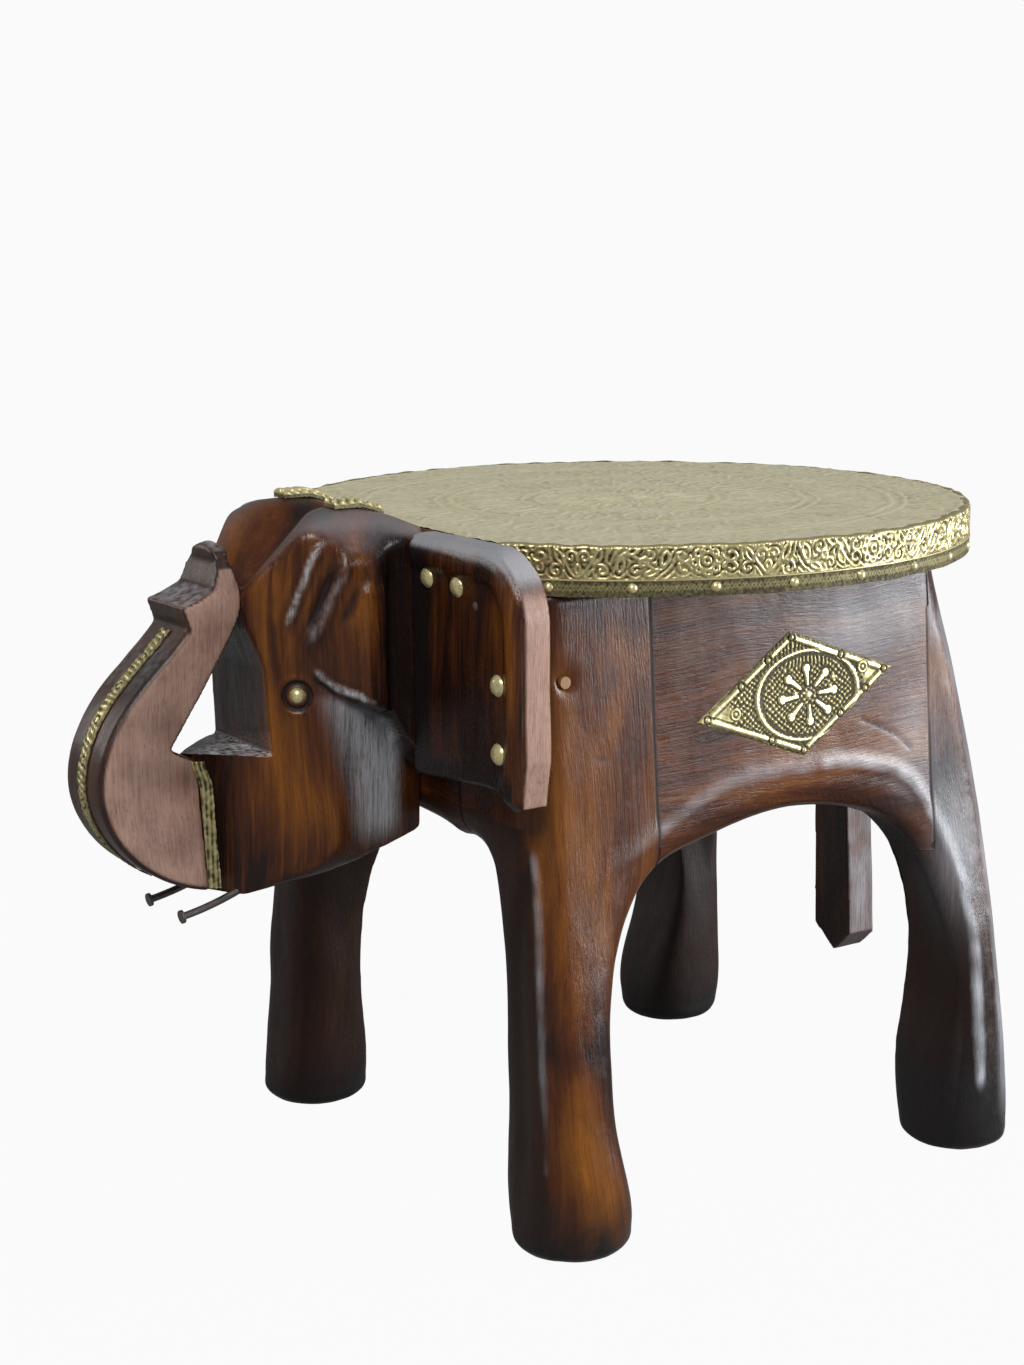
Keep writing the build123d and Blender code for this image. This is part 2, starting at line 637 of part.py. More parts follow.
def stool():
    """Every node of the stool by name."""
    nodes = {}
    form = planed(body_outside())
    carved = carved_body()
    dowels = body_dowels()
    peg = shoulder_peg(form)
    nail = ear_nail()
    pins = plaque_pins()
    screws = [seat_screw(place) for place in screw_places]
    neck_dowels = [head_dowel(place) for place in head_dowel_places]
    neck_dowels += [mirrored(dowel) for dowel in neck_dowels]
    tail_pegs = [tail_peg(share) for share in tail_peg_shares]
    left_joints = [dowel for group in dowels.values() for dowel in group]
    far = beyond

    blocks = {"front_leg": leg(carved, (-far, joint_front_y), -foot_y),
              "rear_leg": leg(carved, (joint_rear_y, far), foot_y),
              "flank_panel": carved & block((joint_side_x, far), (joint_front_y, joint_rear_y), (leg_top, far))}
    for name, whole in blocks.items():
        left = cut(whole, left_joints + [peg, nail] + pins + screws)
        nodes["left_" + name], nodes["right_" + name] = left, mirrored(left)
    inner = (-joint_side_x, joint_side_x)
    end_tools = left_joints + [mirrored(dowel) for dowel in left_joints] + screws + neck_dowels + tail_pegs
    nodes["chest_panel"] = cut(carved & block(inner, (-far, joint_front_y)), end_tools)
    nodes["rump_panel"] = cut(carved & block(inner, (joint_rear_y, far)), end_tools)
    for name, group in dowels.items():
        nodes[name] = joined(group + [mirrored(dowel) for dowel in group])

    head = head_form()
    eyes = pair(eye_stud)
    tusks = pair(tusk)
    tenon = trunk_dowel()
    trunk = trunk_form()
    nodes["head"] = cut(head, neck_dowels + list(eyes.values()) + list(tusks.values()) + [tenon, trunk])
    nodes["trunk"] = trunk - tenon
    nodes["head_dowels"] = joined(neck_dowels)
    nodes["trunk_dowel"] = tenon
    nodes["trunk_strip"] = trunk_strip()

    studs = [ear_stud(place) for place in ear_stud_places]
    groups = {"ear": cut(ear_form(), studs + [nail]), "ear_studs": joined(studs), "ear_nail": nail,
              "crown_strip": crown_strip(head), "seam_strip": seam_strip(), "eye_stud": eyes["left"],
              "tusk": tusks["left"], "plaque": cut(plaque(form), pins), "plaque_pins": joined(pins),
              "shoulder_peg": peg}
    for name, left in groups.items():
        nodes["left_" + name], nodes["right_" + name] = left, mirrored(left)

    nodes["tail"] = cut(tail_form(form), tail_pegs)
    nodes["tail_pegs"] = joined(tail_pegs)

    tacks = rim_tacks()
    nodes["seat_board"] = cut(seat_disc(board_radius, board_bottom, board_top), screws + tacks)
    nodes["seat_sheet"] = seat_disc(seat_radius, board_top, seat_height)
    nodes["rim_band"] = (seat_disc(seat_radius, strip_top, board_top)
                         - seat_disc(board_radius, strip_top, board_top))
    nodes["rim_trim"] = cut(seat_disc(seat_radius, board_bottom, strip_top)
                            - seat_disc(board_radius, board_bottom, strip_top), tacks)
    nodes["rim_tacks"] = joined(tacks)
    nodes["seat_screws"] = joined(screws)
    return nodes


os.makedirs("parts", exist_ok=True)
for node_name, piece in stool().items():
    export_step(Pos(0, axis_y, 0) * piece, f"parts/{node_name}.step")
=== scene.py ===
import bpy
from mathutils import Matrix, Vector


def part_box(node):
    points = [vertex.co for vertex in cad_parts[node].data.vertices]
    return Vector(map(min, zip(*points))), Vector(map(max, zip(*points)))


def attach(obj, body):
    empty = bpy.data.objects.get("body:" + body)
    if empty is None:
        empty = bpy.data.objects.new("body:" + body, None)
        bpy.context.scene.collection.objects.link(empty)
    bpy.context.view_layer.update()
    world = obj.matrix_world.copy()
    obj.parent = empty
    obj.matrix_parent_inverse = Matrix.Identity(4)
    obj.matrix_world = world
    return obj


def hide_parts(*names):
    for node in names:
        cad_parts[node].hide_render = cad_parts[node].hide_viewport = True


bl_info = {
    "name": "Carved Elephant Stool",
    "version": (1, 0, 0),
    "blender": (4, 5, 0),
    "location": "View3D > Sidebar > Elephant Stool",
    "description": "Carves and finishes the elephant stool over its fixed frame",
    "category": "Object",
}

from itertools import product
from math import cos, pi, radians, sin, tau

import bmesh
import bpy
import numpy as np
from mathutils import Matrix, Vector

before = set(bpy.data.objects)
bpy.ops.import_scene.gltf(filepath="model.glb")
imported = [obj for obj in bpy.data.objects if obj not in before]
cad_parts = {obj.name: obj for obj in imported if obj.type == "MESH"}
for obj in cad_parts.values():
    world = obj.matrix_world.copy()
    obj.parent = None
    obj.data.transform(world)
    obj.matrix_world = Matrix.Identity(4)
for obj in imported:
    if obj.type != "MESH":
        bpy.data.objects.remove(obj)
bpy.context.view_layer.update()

MM = 0.001

# ---------------------------------------------------------------- places taken from the frame
seat_low, seat_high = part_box("seat_sheet")
seat_radius = (seat_high.x - seat_low.x) / 2
seat_centre_y = seat_high.y - seat_radius
seat_flat = seat_low.y - seat_centre_y
seat_top = seat_high.z
board_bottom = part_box("seat_board")[0].z
trim_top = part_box("rim_trim")[1].z
joint_front_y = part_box("left_front_leg")[1].y
joint_rear_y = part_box("rump_panel")[0].y
joint_side_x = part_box("chest_panel")[1].x
leg_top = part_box("left_flank_panel")[0].z


# ---------------------------------------------------------------- settings
def length(name, description, default, least, most):
    """A size that the sidebar shows. Sizes are given in millimetres."""
    return bpy.props.FloatProperty(name=name, description=description, default=default * MM, min=least * MM,
                                   max=most * MM, precision=4, unit="LENGTH")


def tint(name, description, default):
    """A colour that the sidebar shows."""
    return bpy.props.FloatVectorProperty(name=name, description=description, default=default, subtype="COLOR",
                                         min=0, max=1)


class STOOL_PG_carving(bpy.types.PropertyGroup):
    """Sizes of the carving and the embossing"""
    body_detail: length("Body detail", "Smallest form kept in the body's carving", 1.5, 0.8, 4)
    head_detail: length("Head detail", "Smallest form kept in head, trunk, ears and tail", 0.9, 0.5, 3)
    tool_marks: length("Tool marks", "Depth of the hollows left by drawknife and gouge", 0.45, 0, 2)
    joint_gap: length("Joint line", "Width of the dark lines where blocks meet", 0.5, 0, 2)
    relief: length("Relief", "Height of the embossing in the brass", 0.7, 0, 1.5)


class STOOL_PG_finish(bpy.types.PropertyGroup):
    """Colours of the stool's finishes"""
    # The darkest walnut is also laid as painted shade in hollows, grooves and on shaded faces.
    walnut_dark: tint("Walnut, dark", "Lacquered wood in its darkest streaks", (0.016, 0.006, 0.004))
    walnut_red: tint("Walnut, red", "Lacquered wood at large", (0.080, 0.021, 0.005))
    walnut_amber: tint("Walnut, amber", "Worn streaks where the lacquer is thin", (0.205, 0.068, 0.007))
    # The foot colour is also laid on the trunk's belly, and as painted shade at the neck, under the jaw, on
    # the face behind the trunk, in the ears' recesses and under the seat board.
    walnut_black: tint("Walnut, foot", "Blackened lacquer of the feet", (0.010, 0.0085, 0.0085))
    # Painted reflection: this pale mauve is laid on the sides of trunk and ears, the tail's left side and the
    # head's ledge, and a little on the trunk's belly.
    faded: tint("Walnut, faded", "Lacquer rubbed down to dull, pinkish wood", (0.46, 0.285, 0.225))
    # Painted highlight: this bluish white is laid where window light is reflected, on cheek, crown, ledge and
    # ridges of the head, flank, leg edges, trunk top, ear tops and tail.
    bloom: tint("Walnut, bloom", "Bluish haze where the lacquer is thick and scuffed", (0.54, 0.56, 0.60))
    dust: tint("Walnut, dust", "Pale specks caught in the blackened lacquer", (0.17, 0.16, 0.12))
    seam: tint("Joint line", "Dirt in the joints between blocks", (0.006, 0.004, 0.003))
    brass_bright: tint("Brass, bright", "Brass where hands have kept it polished", (0.80, 0.70, 0.37))
    brass_dull: tint("Brass, dull", "Tarnished brass between the ridges", (0.36, 0.31, 0.14))
    brass_dark: tint("Brass, dark", "Dark patina in the hollows of the embossing", (0.045, 0.036, 0.018))
    # On the seat, partly the sheet's own grey-green patina and partly painted reflection that lightens the
    # whole sheet.
    patina: tint("Brass, patina", "Pale grey-green bloom over the seat's brass", (0.80, 0.77, 0.58))
    steel: tint("Nail steel", "Old nail steel", (0.15, 0.14, 0.14))
    rust: tint("Rust", "Rust on the nails", (0.085, 0.034, 0.018))
    pale_wood: tint("Peg wood", "Bare wood of pegs and dowels", (0.42, 0.22, 0.10))
    board_wood: tint("Board wood", "Bare wood of the seat board", (0.20, 0.11, 0.055))
    floor: tint("Floor", "Pale floor and backdrop", (0.24, 0.24, 0.24))


# ---------------------------------------------------------------- shader maths
class Value:
    """A socket in a material, with arithmetic that adds Math nodes"""

    def __init__(self, recipe, socket):
        self.recipe, self.socket = recipe, socket

    def math(self, operation, *others, swap=False):
        terms = (*others, self) if swap else (self, *others)
        return self.recipe.add("ShaderNodeMath", {"operation": operation}, dict(enumerate(terms)))

    def __add__(self, other):
        return self.math("ADD", other)

    def __sub__(self, other):
        return self.math("SUBTRACT", other)

    def __rsub__(self, other):
        return self.math("SUBTRACT", other, swap=True)

    def __mul__(self, other):
        return self.math("MULTIPLY", other)

    def __truediv__(self, other):
        return self.math("DIVIDE", other)

    __radd__, __rmul__ = __add__, __mul__

    def clamped(self):
        return self.math("MAXIMUM", 0.0).math("MINIMUM", 1.0)


class Recipe:
    """One material's nodes"""

    def __init__(self, name):
        self.material = bpy.data.materials.new(name)
        self.material.use_nodes = True
        self.tree = self.material.node_tree
        self.tree.nodes.clear()

    def add(self, kind, settings=None, inputs=None, output=0):
        """A node of any kind: its settings first, then its inputs. Gives one of its outputs."""
        node = self.tree.nodes.new(kind)
        for key, value in (settings or {}).items():
            if key == "stops":
                ramp = node.color_ramp
                while len(ramp.elements) < len(value):
                    ramp.elements.new(0.5)
                for element, (place, shade) in zip(ramp.elements, value):
                    element.position, element.color = place, (*shade, 1)
            else:
                setattr(node, key, value)
        for key, value in (inputs or {}).items():
            if isinstance(value, Value):
                self.tree.links.new(value.socket, node.inputs[key])
            else:
                node.inputs[key].default_value = value
        return Value(self, node.outputs[output]) if len(node.outputs) else node

    def mark(self, name, output=2):
        """A number that the mesh holds for every vertex, or its vector as output 1."""
        return self.add("ShaderNodeAttribute", {"attribute_name": name}, output=output)

    def place(self):
        """The place on the object."""
        return self.add("ShaderNodeTexCoord", output=3)

    def noise(self, vector, scale, detail, roughness=0.5, distortion=0.0):
        """Noise about 0.5. The scale is a number, or one number for each axis."""
        if not isinstance(scale, float):
            vector = self.add("ShaderNodeVectorMath", {"operation": "MULTIPLY"}, {0: vector, 1: scale})
            scale = 1.0
        return self.add("ShaderNodeTexNoise", None, {"Vector": vector, "Scale": scale, "Detail": detail,
                                                     "Roughness": roughness, "Distortion": distortion})

    def ramp(self, value, *stops):
        """Colours along a value, as (place, colour)."""
        return self.add("ShaderNodeValToRGB", {"stops": stops}, {0: value})

    def layered(self, shade, *layers):
        """A colour with others laid over it, as (share, colour)."""
        for share, over in layers:
            under, over = [c if isinstance(c, Value) else (*c, 1) for c in (shade, over)]
            inputs = {0: share.clamped(), 6: under, 7: over}
            shade = self.add("ShaderNodeMix", {"data_type": "RGBA"}, inputs, 2)
        return shade

    def bump(self, height, strength, distance, **under):
        inputs = {"Height": height, "Strength": strength, "Distance": distance, **under}
        return self.add("ShaderNodeBump", None, inputs)

    def surface(self, **inputs):
        """The finished material. What varies of its numbers is kept between 0 and 1."""
        inputs = {key.replace("_", " "): value for key, value in inputs.items()}
        for key in ("Metallic", "Roughness", "Coat Weight"):
            if isinstance(inputs.get(key), Value):
                inputs[key] = inputs[key].clamped()
        shader = self.add("ShaderNodeBsdfPrincipled", None, inputs)
        self.add("ShaderNodeOutputMaterial", None, {"Surface": shader})
        return self.material


# ---------------------------------------------------------------- materials
def lacquered_wood(name, finish, figure=1.0, dullness=0.0):
    """Dark, glossy lacquer over grained wood, its figure strong or faint. Reads the mesh's marks, which lay
    painted shade, painted reflection and painted highlights into its colour.
    """
    r = Recipe(name)
    grain = r.mark("grain", 1)
    warmth, hollow, faded, seam, black, bloom, endwise = map(
        r.mark, ("warmth", "hollow", "faded", "seam", "black", "bloom", "endwise"))
    calm = 1 - endwise * 0.85
    broad = r.noise(grain, (34, 34, 9), 4, 0.55, 0.6) - 0.5
    streaks = (r.noise(grain, (240, 240, 13), 5, 0.6, 0.5) - 0.5) * calm
    lines = (r.noise(grain, (900, 900, 22), 3, 0.6, 0.2) - 0.5) * calm
    pores = (r.noise(grain, (2600, 2600, 150), 2, 0.6) - 0.45) * calm
    mottle = (r.noise(grain, 300.0, 4, 0.6) - 0.5) * calm
    specks = ((r.noise(grain, 1400.0, 2) - 0.68) * 9.0).clamped()

    tone = broad * 1.7 + (streaks * 1.1 + lines * 0.55) * figure + warmth
    wood = r.ramp(tone.clamped(), (0.0, finish.walnut_dark), (0.33, finish.walnut_red),
                  (0.72, finish.walnut_amber), (1.0, Vector(finish.walnut_amber) * 1.6))
    # Laid over the grain in turn: painted reflection, pores, painted shade in hollows and on shaded faces,
    # blackened feet with painted shade, painted highlights, dust and joint dirt
    painted_sheen = bloom * (0.8 + (lines * 1.4 + streaks * 0.8 - pores * 1.5) * figure)
    wood = r.layered(wood, (faded * (0.92 + lines * 0.9 + mottle * 0.8), finish.faded),
                     (((pores - 0.11) * 5.0).clamped() * 0.6, finish.walnut_dark),
                     (hollow * 1.3 + mottle * 0.3, finish.walnut_dark),
                     (black + (streaks + mottle) * (black * 0.45 + 0.15), finish.walnut_black),
                     (painted_sheen.clamped() * 0.85, finish.bloom),
                     (specks * black.clamped() * 0.35, finish.dust), (seam, finish.seam))
    rough = 0.26 + dullness + hollow * 0.35 + seam * 0.4 + faded * 0.22 + (mottle + lines) * 0.3
    coat = 0.12 - (hollow + seam + faded) * 0.3
    fine = r.bump(pores * 0.6 + lines * 0.8 + mottle * 0.35, 0.4, 0.0004)
    return r.surface(Base_Color=wood, Roughness=rough, IOR=1.5, Specular_IOR_Level=0.31, Coat_Weight=coat,
                     Coat_Roughness=0.15, Normal=r.bump(streaks, 0.28 * figure * figure, 0.0012, Normal=fine))


def embossed_brass(name, finish, shade=1.0, polish=0.30, contrast=1.0, shine=1.0, patina=0.0):
    """Antique brass with dark hollows. Reads the mesh's relief, 0 in the hollows and 1 on the ridges."""
    r = Recipe(name)
    place = r.place()
    cloud = r.noise(place, 35.0, 4, 0.6)
    speck = r.noise(place, 900.0, 3, 0.65) - 0.5
    dents = r.noise(place, 260.0, 2)
    level = (r.mark("relief") - 0.5) * contrast + 0.5 + speck * 0.45 + (cloud - 0.5) * 0.25
    level = level.clamped()
    dull, bright = Vector(finish.brass_dull) * shade, Vector(finish.brass_bright) * shade
    metal = r.layered(dull, (cloud, dull * 0.72), ((level - 0.35) * 1.7, bright),
                      ((0.34 - level) * 4.5, finish.brass_dark), ((cloud + 0.5) * patina, finish.patina))
    return r.surface(Base_Color=metal, Metallic=(0.5 + level * 0.45) * shine,
                     Roughness=polish + (1 - level) * 0.35 + speck * 0.25,
                     Normal=r.bump(dents * 0.6 + speck * 0.25, 0.3, 0.0005))


def dome_brass(name, finish):
    """Brass of studs, tacks and pins, cloudy with wear."""
    r = Recipe(name)
    place = r.place()
    cloud, speck = r.noise(place, 240.0, 3, 0.6), r.noise(place, 1500.0, 3, 0.6)
    metal = r.ramp(cloud * 0.7 + speck * 0.4, (0.2, finish.brass_dark), (0.36, finish.brass_dull),
                   (0.52, finish.brass_bright))
    return r.surface(Base_Color=metal, Metallic=0.65, Roughness=0.27 + (speck - 0.4) * 0.4,
                     Normal=r.bump(cloud + speck * 0.3, 0.25, 0.0004))


def old_steel(name, finish):
    """Nail steel with rust blooming through."""
    r = Recipe(name)
    place = r.place()
    bloom, pits = r.noise(place, 420.0, 5, 0.65), r.noise(place, 2200.0, 3, 0.6)
    rust = (bloom * 1.6 + pits * 0.5 - 0.85).clamped()
    return r.surface(Base_Color=r.layered(finish.steel, (rust, finish.rust)), Metallic=0.8 - rust * 0.7,
                     Roughness=0.38 + rust * 0.4, Normal=r.bump(bloom + pits * 0.6, 0.5, 0.0003))


def bare_wood(name, shade):
    """Unlacquered wood with rings and fibres."""
    r = Recipe(name)
    place = r.place()
    fibres = r.noise(place, (90, 900, 900), 4, 0.6)
    rings = r.noise(place, (25, 160, 160), 2, 0.5, 1.0)
    wood = r.layered(Vector(shade) * 1.25, (fibres * 0.6 + rings * 0.5, Vector(shade) * 0.5))
    return r.surface(Base_Color=wood, Roughness=0.62, Normal=r.bump(fibres, 0.4, 0.0004))


# ---------------------------------------------------------------- meshes as arrays
def rows_of(collection, key, width=3, kind=np.float32):
    """A row of numbers for each element of a mesh's collection."""
    flat = np.empty(len(collection) * width, dtype=kind)
    collection.foreach_get(key, flat)
    return flat.reshape(-1, width)


def points_of(mesh):
    """Vertices of a mesh as rows."""
    return rows_of(mesh.vertices, "co").astype(np.float64)


def directions_of(mesh):
    """Vertex normals as rows."""
    return rows_of(mesh.vertex_normals, "vector").astype(np.float64)


def neighbours(mesh):
    """Both ends of every edge."""
    return rows_of(mesh.edges, "vertices", 2, np.int32)


def half_in_mm(points):
    """Distance from the middle plane, and places along Y and Z, in millimetres."""
    return np.abs(points[:, 0]) / MM, points[:, 1] / MM, points[:, 2] / MM


def turned_over(points):
    """The right half laid over the left one, and the factors that lay it back."""
    factors = np.hstack([np.sign(points[:, :1]), np.ones_like(points[:, 1:])])
    return points * factors, factors


def put(mesh, points):
    """Moves a mesh's vertices to these rows."""
    mesh.vertices.foreach_set("co", points.astype(np.float32).ravel())
    mesh.update()


def marked(mesh, **marks):
    """Keeps a number or a vector for every vertex under each name."""
    for name, values in marks.items():
        kind, key = ("FLOAT_VECTOR", "vector") if values.ndim == 2 else ("FLOAT", "value")
        layer = mesh.attributes.new(name, kind, "POINT")
        layer.data.foreach_set(key, values.astype(np.float32).ravel())


def noise(points, size, seed=0):
    """Smooth noise between about -1 and 1, with forms of about that size."""
    scaled = points / size
    cell = np.floor(scaled).astype(np.int64)
    part = scaled - cell
    eased = part ** 3 * (part * (part * 6 - 15) + 10)
    total = np.zeros(len(points))
    for corner in product((0, 1), repeat=3):
        key = cell + corner
        mixed = key[:, 0] * 73856093 ^ key[:, 1] * 19349663 ^ key[:, 2] * 83492791 ^ (seed + 7) * 2654435761
        mixed = (mixed ^ (mixed >> 13)) * 1274126177 & 0xFFFFFFFF
        mixed ^= mixed >> 16
        turn = (mixed & 0xFFFF) / 65536 * tau
        rise = (mixed >> 16 & 0x7FFF) / 16384 - 1
        flat = np.sqrt(np.maximum(1 - rise ** 2, 0))
        offset = part - corner
        slope = (np.cos(turn) * offset[:, 0] + np.sin(turn) * offset[:, 1]) * flat + rise * offset[:, 2]
        total += np.prod(np.where(corner, eased, 1 - eased), axis=1) * slope
    return total * 1.6


def step(values, start, end):
    """0 at one value, rising smoothly to 1 at the other."""
    share = np.clip((values - start) / (end - start), 0, 1)
    return share * share * (3 - 2 * share)


def falloff(distance, width):
    """1 on a line, easing to 0 at that distance."""
    return step(distance, width, 0)


def on_line(gap, width, top=1.25):
    """1 where a gap is small, falling to 0 at about the width."""
    return np.clip(top - (gap / width) ** 2, 0, 1)


def away_from(points, path):
    """Distance of each point from a line of straight runs."""
    nearest = np.full(len(points), np.inf)
    for start, end in zip(path[:-1], path[1:]):
        run = end - start
        share = np.clip((points - start) @ run / max(run @ run, 1e-12), 0, 1)
        nearest = np.minimum(nearest, np.linalg.norm(points - start - share[:, None] * run, axis=1))
    return nearest


def smooth_line(points):
    """A smooth line through the points."""
    knots = np.array(points, dtype=float)
    padded = np.vstack([2 * knots[0] - knots[1], knots, 2 * knots[-1] - knots[-2]])
    line = []
    for a, b, c, d in zip(padded, padded[1:], padded[2:], padded[3:]):
        for t in np.arange(8) / 8:
            line.append(0.5 * (2 * b + (c - a) * t + (2 * a - 5 * b + 4 * c - d) * t * t
                               + (3 * b - a - 3 * c + d) * t ** 3))
    return np.array(line + [knots[-1]])


def averaged(values, edges, rounds=1):
    """Each row drawn to its neighbours' mean, so many times."""
    count = np.bincount(edges.ravel(), minlength=len(values)).astype(float)
    count[count == 0] = 1
    for _ in range(rounds):
        columns = values if values.ndim == 2 else values[:, None]
        total = np.stack([np.bincount(edges[:, 0], column[edges[:, 1]], len(values))
                          + np.bincount(edges[:, 1], column[edges[:, 0]], len(values))
                          for column in columns.T], axis=1)
        mean = total / count[:, None]
        values = mean if values.ndim == 2 else mean[:, 0]
    return values


def hollowness(mesh, rounds, depth):
    """0 on flat wood and ridges, rising to 1 in hollows of that depth."""
    points, edges = points_of(mesh), neighbours(mesh)
    rise = np.einsum("ij,ij->i", averaged(points, edges, rounds) - points, directions_of(mesh))
    return np.clip(averaged(rise, edges, 2) / depth, 0, 1)


def pared(points, place, facing, ease, share=1.0):
    """What stands beyond a plane cut back to it, the new edges eased. Place and ease are in millimetres."""
    facing = np.array(facing) / np.linalg.norm(facing)
    beyond = (points - np.array(place) * MM) @ facing
    back = ease * MM * np.logaddexp(0, beyond / (ease * MM))
    return points - (share * back)[:, None] * facing


def flat_rows(u, v):
    """Rows of a flat pattern's places, at height 0."""
    return np.column_stack([u.ravel(), v.ravel(), np.zeros(u.size)])


def swayed(flat, size, reach, seed):
    """Both coordinates of a pattern's places, moved about a little."""
    return flat[:, :2] + np.column_stack([noise(flat, size, seed), noise(flat, size, seed + 1)]) * reach


# ---------------------------------------------------------------- making pieces
def new_piece(name, mesh):
    piece = bpy.data.objects.new(name, mesh)
    bpy.context.scene.collection.objects.link(piece)
    return piece


def finished(piece, material, slot, *nodes, smooth=True):
    """Gives a piece its finish and its place on the body."""
    piece.data.materials.clear()
    piece.data.materials.append(material)
    if smooth:
        piece.data.shade_smooth()
    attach(piece, "root")
    if nodes:
        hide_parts(*nodes)
    return piece


def carving_block(name, nodes, detail, rounds):
    """The solids of these nodes as one even mesh of fine squares, its edges eased."""
    joined = bmesh.new()
    for node in nodes:
        joined.from_mesh(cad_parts[node].data)
    mesh = bpy.data.meshes.new(name)
    joined.to_mesh(mesh)
    joined.free()
    mesh.materials.clear()
    piece = new_piece(name, mesh)
    squares = piece.modifiers.new("squares", "REMESH")
    squares.mode, squares.voxel_size, squares.adaptivity = "VOXEL", detail, 0
    eased = piece.modifiers.new("eased", "SMOOTH")
    eased.factor, eased.iterations = 0.5, rounds
    whole = bpy.data.meshes.new_from_object(piece.evaluated_get(bpy.context.evaluated_depsgraph_get()))
    piece.modifiers.clear()
    piece.data = whole
    bpy.data.meshes.remove(mesh)
    return piece


def tool_marks(points, depth, seed, stretch=(1, 1, 0.45)):
    """Low hollows left by a drawknife working along the grain."""
    drawn = points * stretch
    facets = noise(drawn, 14 * MM, seed) * 0.6 + noise(drawn, 6 * MM, seed + 1) * 0.3
    return depth * (facets + noise(points, 32 * MM, seed + 2) * 0.7)


def grid_piece(name, points, closed=False):
    """A sheet from rows of points, as an array of shape (rows, columns, 3)."""
    rows, columns = points.shape[:2]
    index = np.arange(rows * columns).reshape(rows, columns)
    if closed:
        index = np.hstack([index, index[:, :1]])
    a, b = index[:-1, :-1].ravel(), index[:-1, 1:].ravel()
    c, d = index[1:, 1:].ravel(), index[1:, :-1].ravel()
    faces = np.stack([a, b, c, d], axis=1).astype(np.int32)
    mesh = bpy.data.meshes.new(name)
    mesh.vertices.add(rows * columns)
    mesh.vertices.foreach_set("co", points.reshape(-1).astype(np.float32))
    mesh.loops.add(faces.size)
    mesh.loops.foreach_set("vertex_index", faces.ravel())
    mesh.polygons.add(len(faces))
    mesh.polygons.foreach_set("loop_start", np.arange(0, faces.size, 4, dtype=np.int32))
    mesh.update(calc_edges=True)
    mesh.validate()
    return new_piece(name, mesh)


# ---------------------------------------------------------------- embossed patterns
def scroll(centre, start, turns, outer, inner):
    """A spiral, wound inwards from an angle."""
    turn = start + np.linspace(0, turns * tau, 22)
    return centre + np.linspace(outer, inner, 22)[:, None] * np.stack([np.cos(turn), np.sin(turn)], axis=1)


def ring(radius):
    """A circle about a motif's middle."""
    turn = np.linspace(0, tau, 21)
    return radius * np.stack([np.cos(turn), np.sin(turn)], axis=1)


def leaf(root, tip, width):
    """Outline of a pointed leaf from root to tip."""
    root, along = np.array(root), np.subtract(tip, root)
    across = np.array((-along[1], along[0])) / np.linalg.norm(along)
    share = np.linspace(0, 1, 8)[:, None]
    middle, bulge = root + share * along, np.sin(share * pi) ** 0.8 * width / 2 * across
    return np.vstack([middle + bulge, (middle - bulge)[::-1]])


def ridges(flat, lines, width, echo):
    """1 on the lines, falling to 0 half a width away, with fainter lines round them at each echo."""
    nearest = np.minimum.reduce([away_from(flat, line) for line in lines])
    return np.maximum(on_line(nearest, width / 2), 0.42 + 0.42 * np.cos(nearest / echo * tau))


# ---------------------------------------------------------------- body
def block_of(centres):
    """Number of the block that each face belongs to, from the joints' planes."""
    x, y, z = centres.T
    front, rear = y < joint_front_y, (y > joint_rear_y) | ((z < leg_top) & (y > seat_centre_y))
    middle = np.abs(x) < joint_side_x
    end, leg = np.where(front, 0, 1), np.where(front, 2, 4)
    kind = np.where(front | rear, np.where(middle & (front | (y > joint_rear_y)), end, leg), 6)
    return kind + ((kind > 1) & (x < 0))


BODY_BLOCKS = ("chest_panel", "rump_panel", "left_front_leg", "right_front_leg", "left_rear_leg",
               "right_rear_leg", "left_flank_panel", "right_flank_panel")


def seam_lines(points, width):
    """1 on the joints between the body's blocks."""
    x, y, z = np.abs(points[:, 0]), points[:, 1], points[:, 2]
    wander = noise(points, 30 * MM, 5) * 0.3 * MM
    front = np.abs(y - joint_front_y + wander)
    rear = np.where(z > leg_top, np.abs(y - joint_rear_y + wander), 1)
    side = np.where((y < joint_front_y) | (y > joint_rear_y), np.abs(x - joint_side_x + wander), 1)
    return np.clip(1.4 - np.minimum(np.minimum(front, rear), side) / width, 0, 1)


def warm_patches(points, patches):
    """The patches' amounts, each fading out round its centre. Centre and reach are in millimetres."""
    total = np.zeros(len(points))
    for centre, reach, amount in patches:
        gap = (points - np.array(centre) * MM) / (np.array(reach) * MM)
        total += amount * np.exp(-np.sum(gap ** 2, axis=1))
    return total


